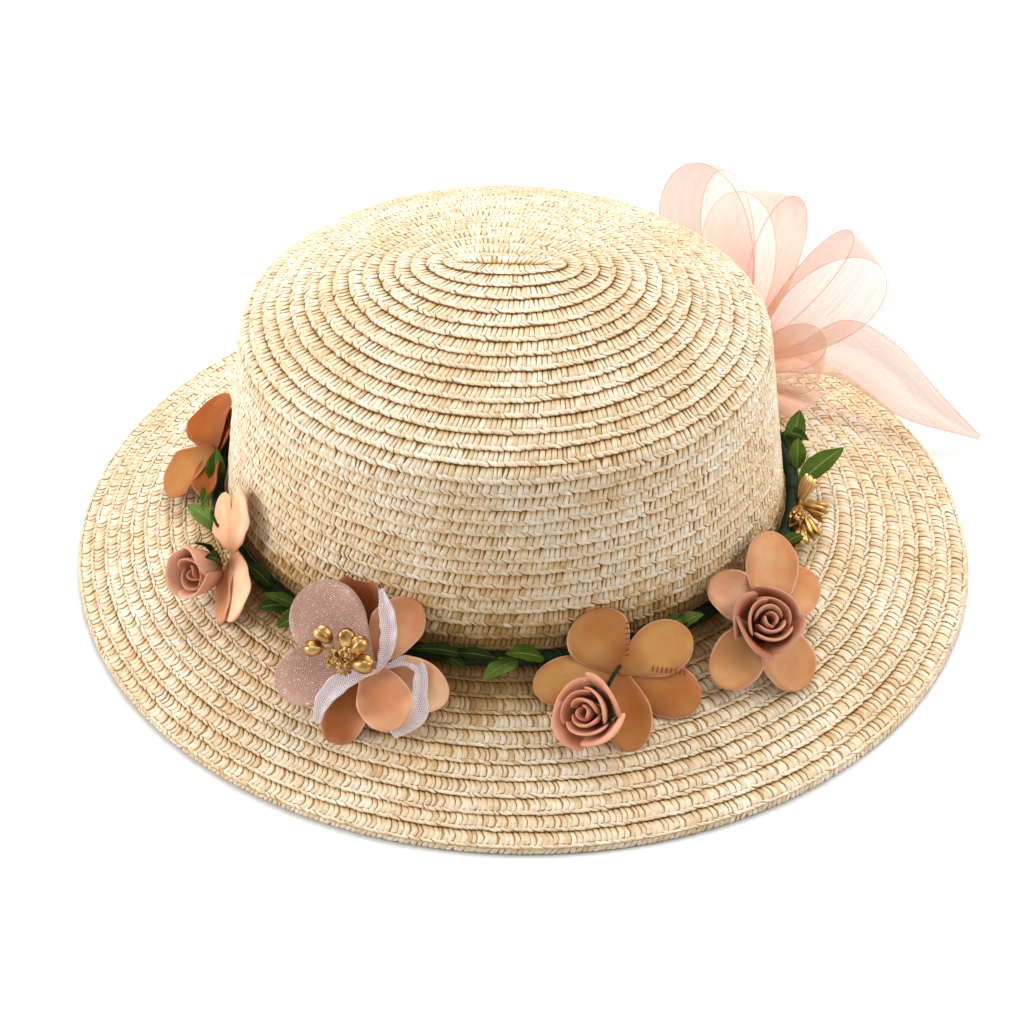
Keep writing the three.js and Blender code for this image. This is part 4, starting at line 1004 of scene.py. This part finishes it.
def leaf_block(number, root, ahead, across, length, width, tone):
    """A pointed leaf folded along its midrib: half width is a sine of the length, and the tip arches down."""
    v, u = np.linspace(0, 1, 13)[:, None], np.linspace(-1, 1, 9)
    half = width / 2 * (0.06 * (1 - v) + 0.98 * np.sin(np.pi * v ** 0.85) ** 0.85)
    lift = (1.1 * np.abs(u) + 0.9) * np.sin(np.pi * v) - 0.6 * v ** 3
    lift = lift + 0.25 * np.sin(6 * np.pi * v + number) * np.abs(u) ** 3
    grid = along_axes(root, (ahead, across, np.cross(ahead, across)), length * v, u * half, lift)
    return sheet_block(grid, 0.5, tone=tone, edge=0.6)


def stem_leaf(number, turn, heading, climb, length, width, tone, seat):
    """A leaf that grows from the stem's skin. heading 0 runs on round the hat and 90 straight out from it."""
    angle = math.radians(turn)
    out = unit(X * FOOT_RADIUS * math.cos(angle) + Y * (FOOT_RADIUS + SEAM_HALF) * math.sin(angle))
    level = turned(np.cross(Z, out), out, heading)
    root = beside_wall(turn, STEM_OUT, STEM_HEIGHT) + turned(out, Z, seat) * (STEM_RADIUS + 0.1)
    return leaf_block(number, root, turned(level, Z, climb), np.cross(Z, level), length, width, tone)


def make_leaves():
    """The stem's leaves, and the green sepals and stalk behind the fourth flower's rose and the bud."""
    for number, values in enumerate(LEAVES):
        add_piece(f"leaf_{number + 1:02d}_cotton", [stem_leaf(number, *values)], LEAF_COTTON,
                  [f"leaf_{number + 1:02d}"], levels=1)
    parts = [stem_leaf(number, *values) for number, values in enumerate(SMALL_LEAVES)]
    for rose, turn, length, width, tone in SEPALS:
        side, rise, face = ROSES[rose]["axes"]
        way = turned(side, rise, turn)
        root = ROSES[rose]["middle"] + way * 5.5 - face * 0.5
        parts.append(leaf_block(turn, root, way * 0.55 + face * 0.835, np.cross(way, face), length, width, tone))
    add_piece("small_leaves_and_sepals", parts, LEAF_COTTON, levels=1)
    foot, head = in_flower(FLOWERS[3], 0, 1, 4.5), ROSES[1]["middle"] + np.array([3.5, 5.0, 5.0])
    stalk = tube_block(bent_wire(foot, head, (0, 0, 1.5)), 0.7)
    add_piece("flower_4_rose_stalk", [stalk], STEM_TAPE)


# The bow, whose fan of loops leans back from the knot

FAN_MIDDLE = beside_wall(KNOT["turn"], KNOT["out"], KNOT["height"])
FAN = np.array([[1, 0, 0], [0, math.sin(BOW_LEAN), math.cos(BOW_LEAN)], [0, -math.cos(BOW_LEAN), math.sin(BOW_LEAN)]])

# right, up, fore and spread of the near hem, then of the far hem, then how closely it is gathered far from the
# knot and at it
LOOPS = [
    ((-20, 72.5, 14, 27), (-7, 72, -8, 17), 0.17, 1.0), ((21, 63, -11, 16), (0, 66, -34, 24), 0.17, 1.0),
    ((40, 49, 15, 12), (53, 36, -5, 27), 0.17, 1.0), ((31, 9, 27, 24), (29, -6, 12, 26), 0.0, 0.3),
]
TAILS = [
    dict(name="long", upper=[(6.6, 2.0, -1.0), (22, 11, 0.5), (40, 20, 5), (58, 16, -2), (76, 8, -20), (92, 2, -35.5)],
         lower=[(6.2, 0, -3.0), (21, 1.5, -5), (39, 5, -11), (62, 0, -25), (91, 1.4, -36.5)]),
    dict(name="short", upper=[(5.6, -3.5, -2.6), (16, -4, -6), (27, -4, -8), (33, -5, -9.5)],
         lower=[(3.3, -5.3, -3.7), (9, -9, -8), (14, -11, -12), (19.7, -13, -15)]),
]


def hem_points(hem, share):
    """A hem leaves the knot, rounds its tip and comes back: its reach is a power of a cosine of its angle."""
    axis = np.array(hem[:3]) @ FAN
    length = np.linalg.norm(axis)
    axis = axis / length
    angle = math.radians(hem[3]) * (1 - 2 * share)
    start = KNOT["radius"] - 1.5
    reach = start + (length - start) * np.maximum(np.cos(np.pi / 2 * (1 - 2 * share)), 0) ** 0.6
    axes = axis, unit(np.cross(FAN[2], axis))
    return along_axes(FAN_MIDDLE, axes, reach * np.cos(angle), reach * np.sin(angle)), reach[:, None]


def threads(first, second, columns):
    """Straight threads from one edge of a cloth to the other, and each column's share of the way across."""
    u = np.linspace(0, 1, columns)
    return first[:, None] * (1 - u[:, None]) + second[:, None] * u[:, None], u


def loop_grid(near, far, rows=61, columns=17):
    """A loop: straight threads from hem to hem, puckered into pleats that die away from the knot."""
    share = (1 - np.cos(np.linspace(0, np.pi, rows))) / 2
    (a, reach), (b, _) = hem_points(near, share), hem_points(far, share)
    grid, u = threads(a, b, columns)
    pleat = 1.5 * np.sin(TAU * 2.5 * u + 0.6) * np.exp(-(reach - 6) / 16) * (1 - np.exp(-reach / 9))
    sag = 1.2 * np.sin(np.pi * u) * np.sin(np.pi * share)[:, None]
    return grid + grid_normal(grid) * (pleat + sag)[..., None]


def fill_grid(hem, depth, rows=25, columns=13):
    """The cloth seen through a loop's mouth: straight threads from one run of the hem to the other, set back."""
    share = np.linspace(0.02, 0.5, rows)
    (a, reach), (b, _) = hem_points(hem, share), hem_points(hem, 1 - share)
    grid, u = threads(a, b, columns)
    back = depth * np.sin(np.pi * u) * (share / 0.5)[:, None] ** 0.6
    pleat = 0.9 * np.sin(TAU * 2 * u) * np.exp(-(reach - 6) / 14)
    return grid - FAN[2] * (back + pleat)[..., None]


def tail_grid(tail, rows=41, columns=15):
    """A tail: threads from its upper edge to its lower one, with a fold down it and pleats that die away."""
    upper, lower = (smooth_path(tail[k], rows) + FAN_MIDDLE for k in ("upper", "lower"))
    grid, u = threads(upper, lower, columns)
    v = np.linspace(0, 1, rows)[:, None]
    fold = 2.2 * np.exp(-((u - 0.45) / 0.16) ** 2) * np.sin(np.pi * v) ** 0.7
    pleat = 0.9 * np.sin(TAU * 2 * u) * np.exp(-v * 7)
    return grid + grid_normal(grid) * (fold + pleat)[..., None]


def gathered(grid, loose=0.17, tight=1.0):
    """How closely the cloth is gathered: tight at the knot and falling away to loose over some 25 mm."""
    away = np.linalg.norm(grid - FAN_MIDDLE, axis=-1)
    return loose + (tight - loose) * np.clip(np.exp(-(away - 1.8 * KNOT["radius"]) / 20), 0, 1)


def knot_block():
    """The knot: a ball whose radius ripples with the gathers, which lie along it."""
    v, u = np.linspace(0, np.pi, 25)[:, None], TAU * np.arange(48) / 48
    ring = KNOT["radius"] * 0.92 * np.sin(v) * (1 + 0.07 * np.sin(9 * u + 1.5 * np.cos(v)) * np.sin(v))
    grid = along_axes(FAN_MIDDLE, FAN, KNOT["radius"] * np.cos(v), ring * np.cos(u), ring * np.sin(u))
    return outwards(block(grid, grid_faces(25, 48, round_columns=True)))


def make_bow():
    """Loops and tails of organza, each with a rolled hem, and the gathered knot."""
    grids = []
    for number, (near, far, *pull) in enumerate(LOOPS):
        front = fill_grid(near, 3)
        grids.append(loop_grid(near, far))
        add_cloth(f"organza_loop_{number + 1}", grids[-1], 0.3, ORGANZA,
                  [f"bow_loop_{number + 1}"], gathered(grids[-1], *pull))
        add_cloth(f"organza_loop_{number + 1}_front", front, 0.3, ORGANZA, (),
                  gathered(front, *pull))
    for tail in TAILS:
        grids.append(tail_grid(tail))
        add_cloth(f"organza_tail_{tail['name']}", grids[-1], 0.3, ORGANZA,
                  [f"bow_tail_{tail['name']}"], 0.2 + gathered(grids[-1]))
    hems = [tube_block(grid[:, side], 0.22, 5) for grid in grids for side in (0, -1)]
    add_piece("organza_hems", hems, ORGANZA_HEM)
    add_piece("organza_knot", [knot_block()], ORGANZA_KNOT, ["bow_knot"])


make_straw()
make_petals()
make_roses()
make_gauze()
make_gold()
make_stem()
make_leaves()
make_bow()

# Camera, floor and light

PHOTO_SIDE = 1024
FOCAL_PIXELS = 4643.3
SENSOR = 36
FLOOR_HALF = 3
FLOOR_DROP = 0.0005  # metres; the table top is this far under the brim, so that the two don't meet
LAMPS = [  # name, place, what it is aimed at, watts and side
    ("overhead", (0.05, 0.65, 1.4), (0, 0, 0.05), 16.5, 0.9), ("left", (-1.3, -0.15, 0.6), (0, 0, 0.06), 14, 0.8),
    ("right", (1.25, 0.15, 0.75), (0, 0, 0.05), 10, 0.8),
]


def make_camera():
    """The photograph's viewpoint: a long lens 1.69 m off, 44 degrees above the table."""
    right, ahead = turned(X, Y, 1.74), turned(Y, -X, 1.74)
    back = turned(-ahead, Z, 44.06)
    place = row_place((-4.47, 3.95, 18.18)) + back * 1.6918
    camera = bpy.data.objects.new("camera", bpy.data.cameras.new("camera"))
    camera.data.sensor_width = SENSOR
    camera.data.lens = FOCAL_PIXELS / PHOTO_SIDE * SENSOR
    camera.data.clip_end = 20
    camera.matrix_world = Matrix([*np.stack([right, np.cross(back, right), back, place], -1).tolist(), [0, 0, 0, 1]])
    bpy.context.scene.collection.objects.link(camera)
    bpy.context.scene.camera = camera


def make_floor():
    """A plain pale table top."""
    mesh = bpy.data.meshes.new("table_top")
    corners = [(x * FLOOR_HALF, y * FLOOR_HALF, -FLOOR_DROP) for x, y in ((-1, -1), (1, -1), (1, 1), (-1, 1))]
    mesh.from_pydata(corners, [], [(0, 1, 2, 3)])
    material, shader, add = new_material("matt_white_board", 0.9, Specular_IOR_Level=0.1)
    cloud = add("TexNoise", (0, add("TexCoord"), "Object"), ("Scale", 1 / (900 * MM)), ("Detail", 1.0))
    add(shader, ("Base Color", add("ValToRGB", (0, cloud), stops=[(0.3, "E6E6E6"), (0.7, "EAEAEA")])))
    mesh.materials.append(material)
    floor = bpy.data.objects.new("table_top", mesh)
    bpy.context.scene.collection.objects.link(floor)


def make_light():
    """A white room, a wide soft lamp overhead and one at each side, so that the wall's front is in soft shade."""
    world = bpy.data.worlds.new("white_room")
    world.use_nodes = True
    world.node_tree.nodes["Background"].inputs[0].default_value = (1, 1, 1, 1)
    world.node_tree.nodes["Background"].inputs[1].default_value = 0.52
    bpy.context.scene.world = world
    for name, place, aim, power, side in LAMPS:
        lamp = bpy.data.objects.new(name, bpy.data.lights.new(name, "AREA"))
        lamp.data.energy, lamp.data.size, lamp.location = power, side, place
        lamp.rotation_euler = (Vector(aim) - Vector(place)).to_track_quat("-Z", "Y").to_euler()
        bpy.context.scene.collection.objects.link(lamp)
    bpy.context.scene.view_settings.view_transform = "Standard"
    bpy.context.scene.cycles.transparent_max_bounces = 24


make_camera()
make_floor()
make_light()
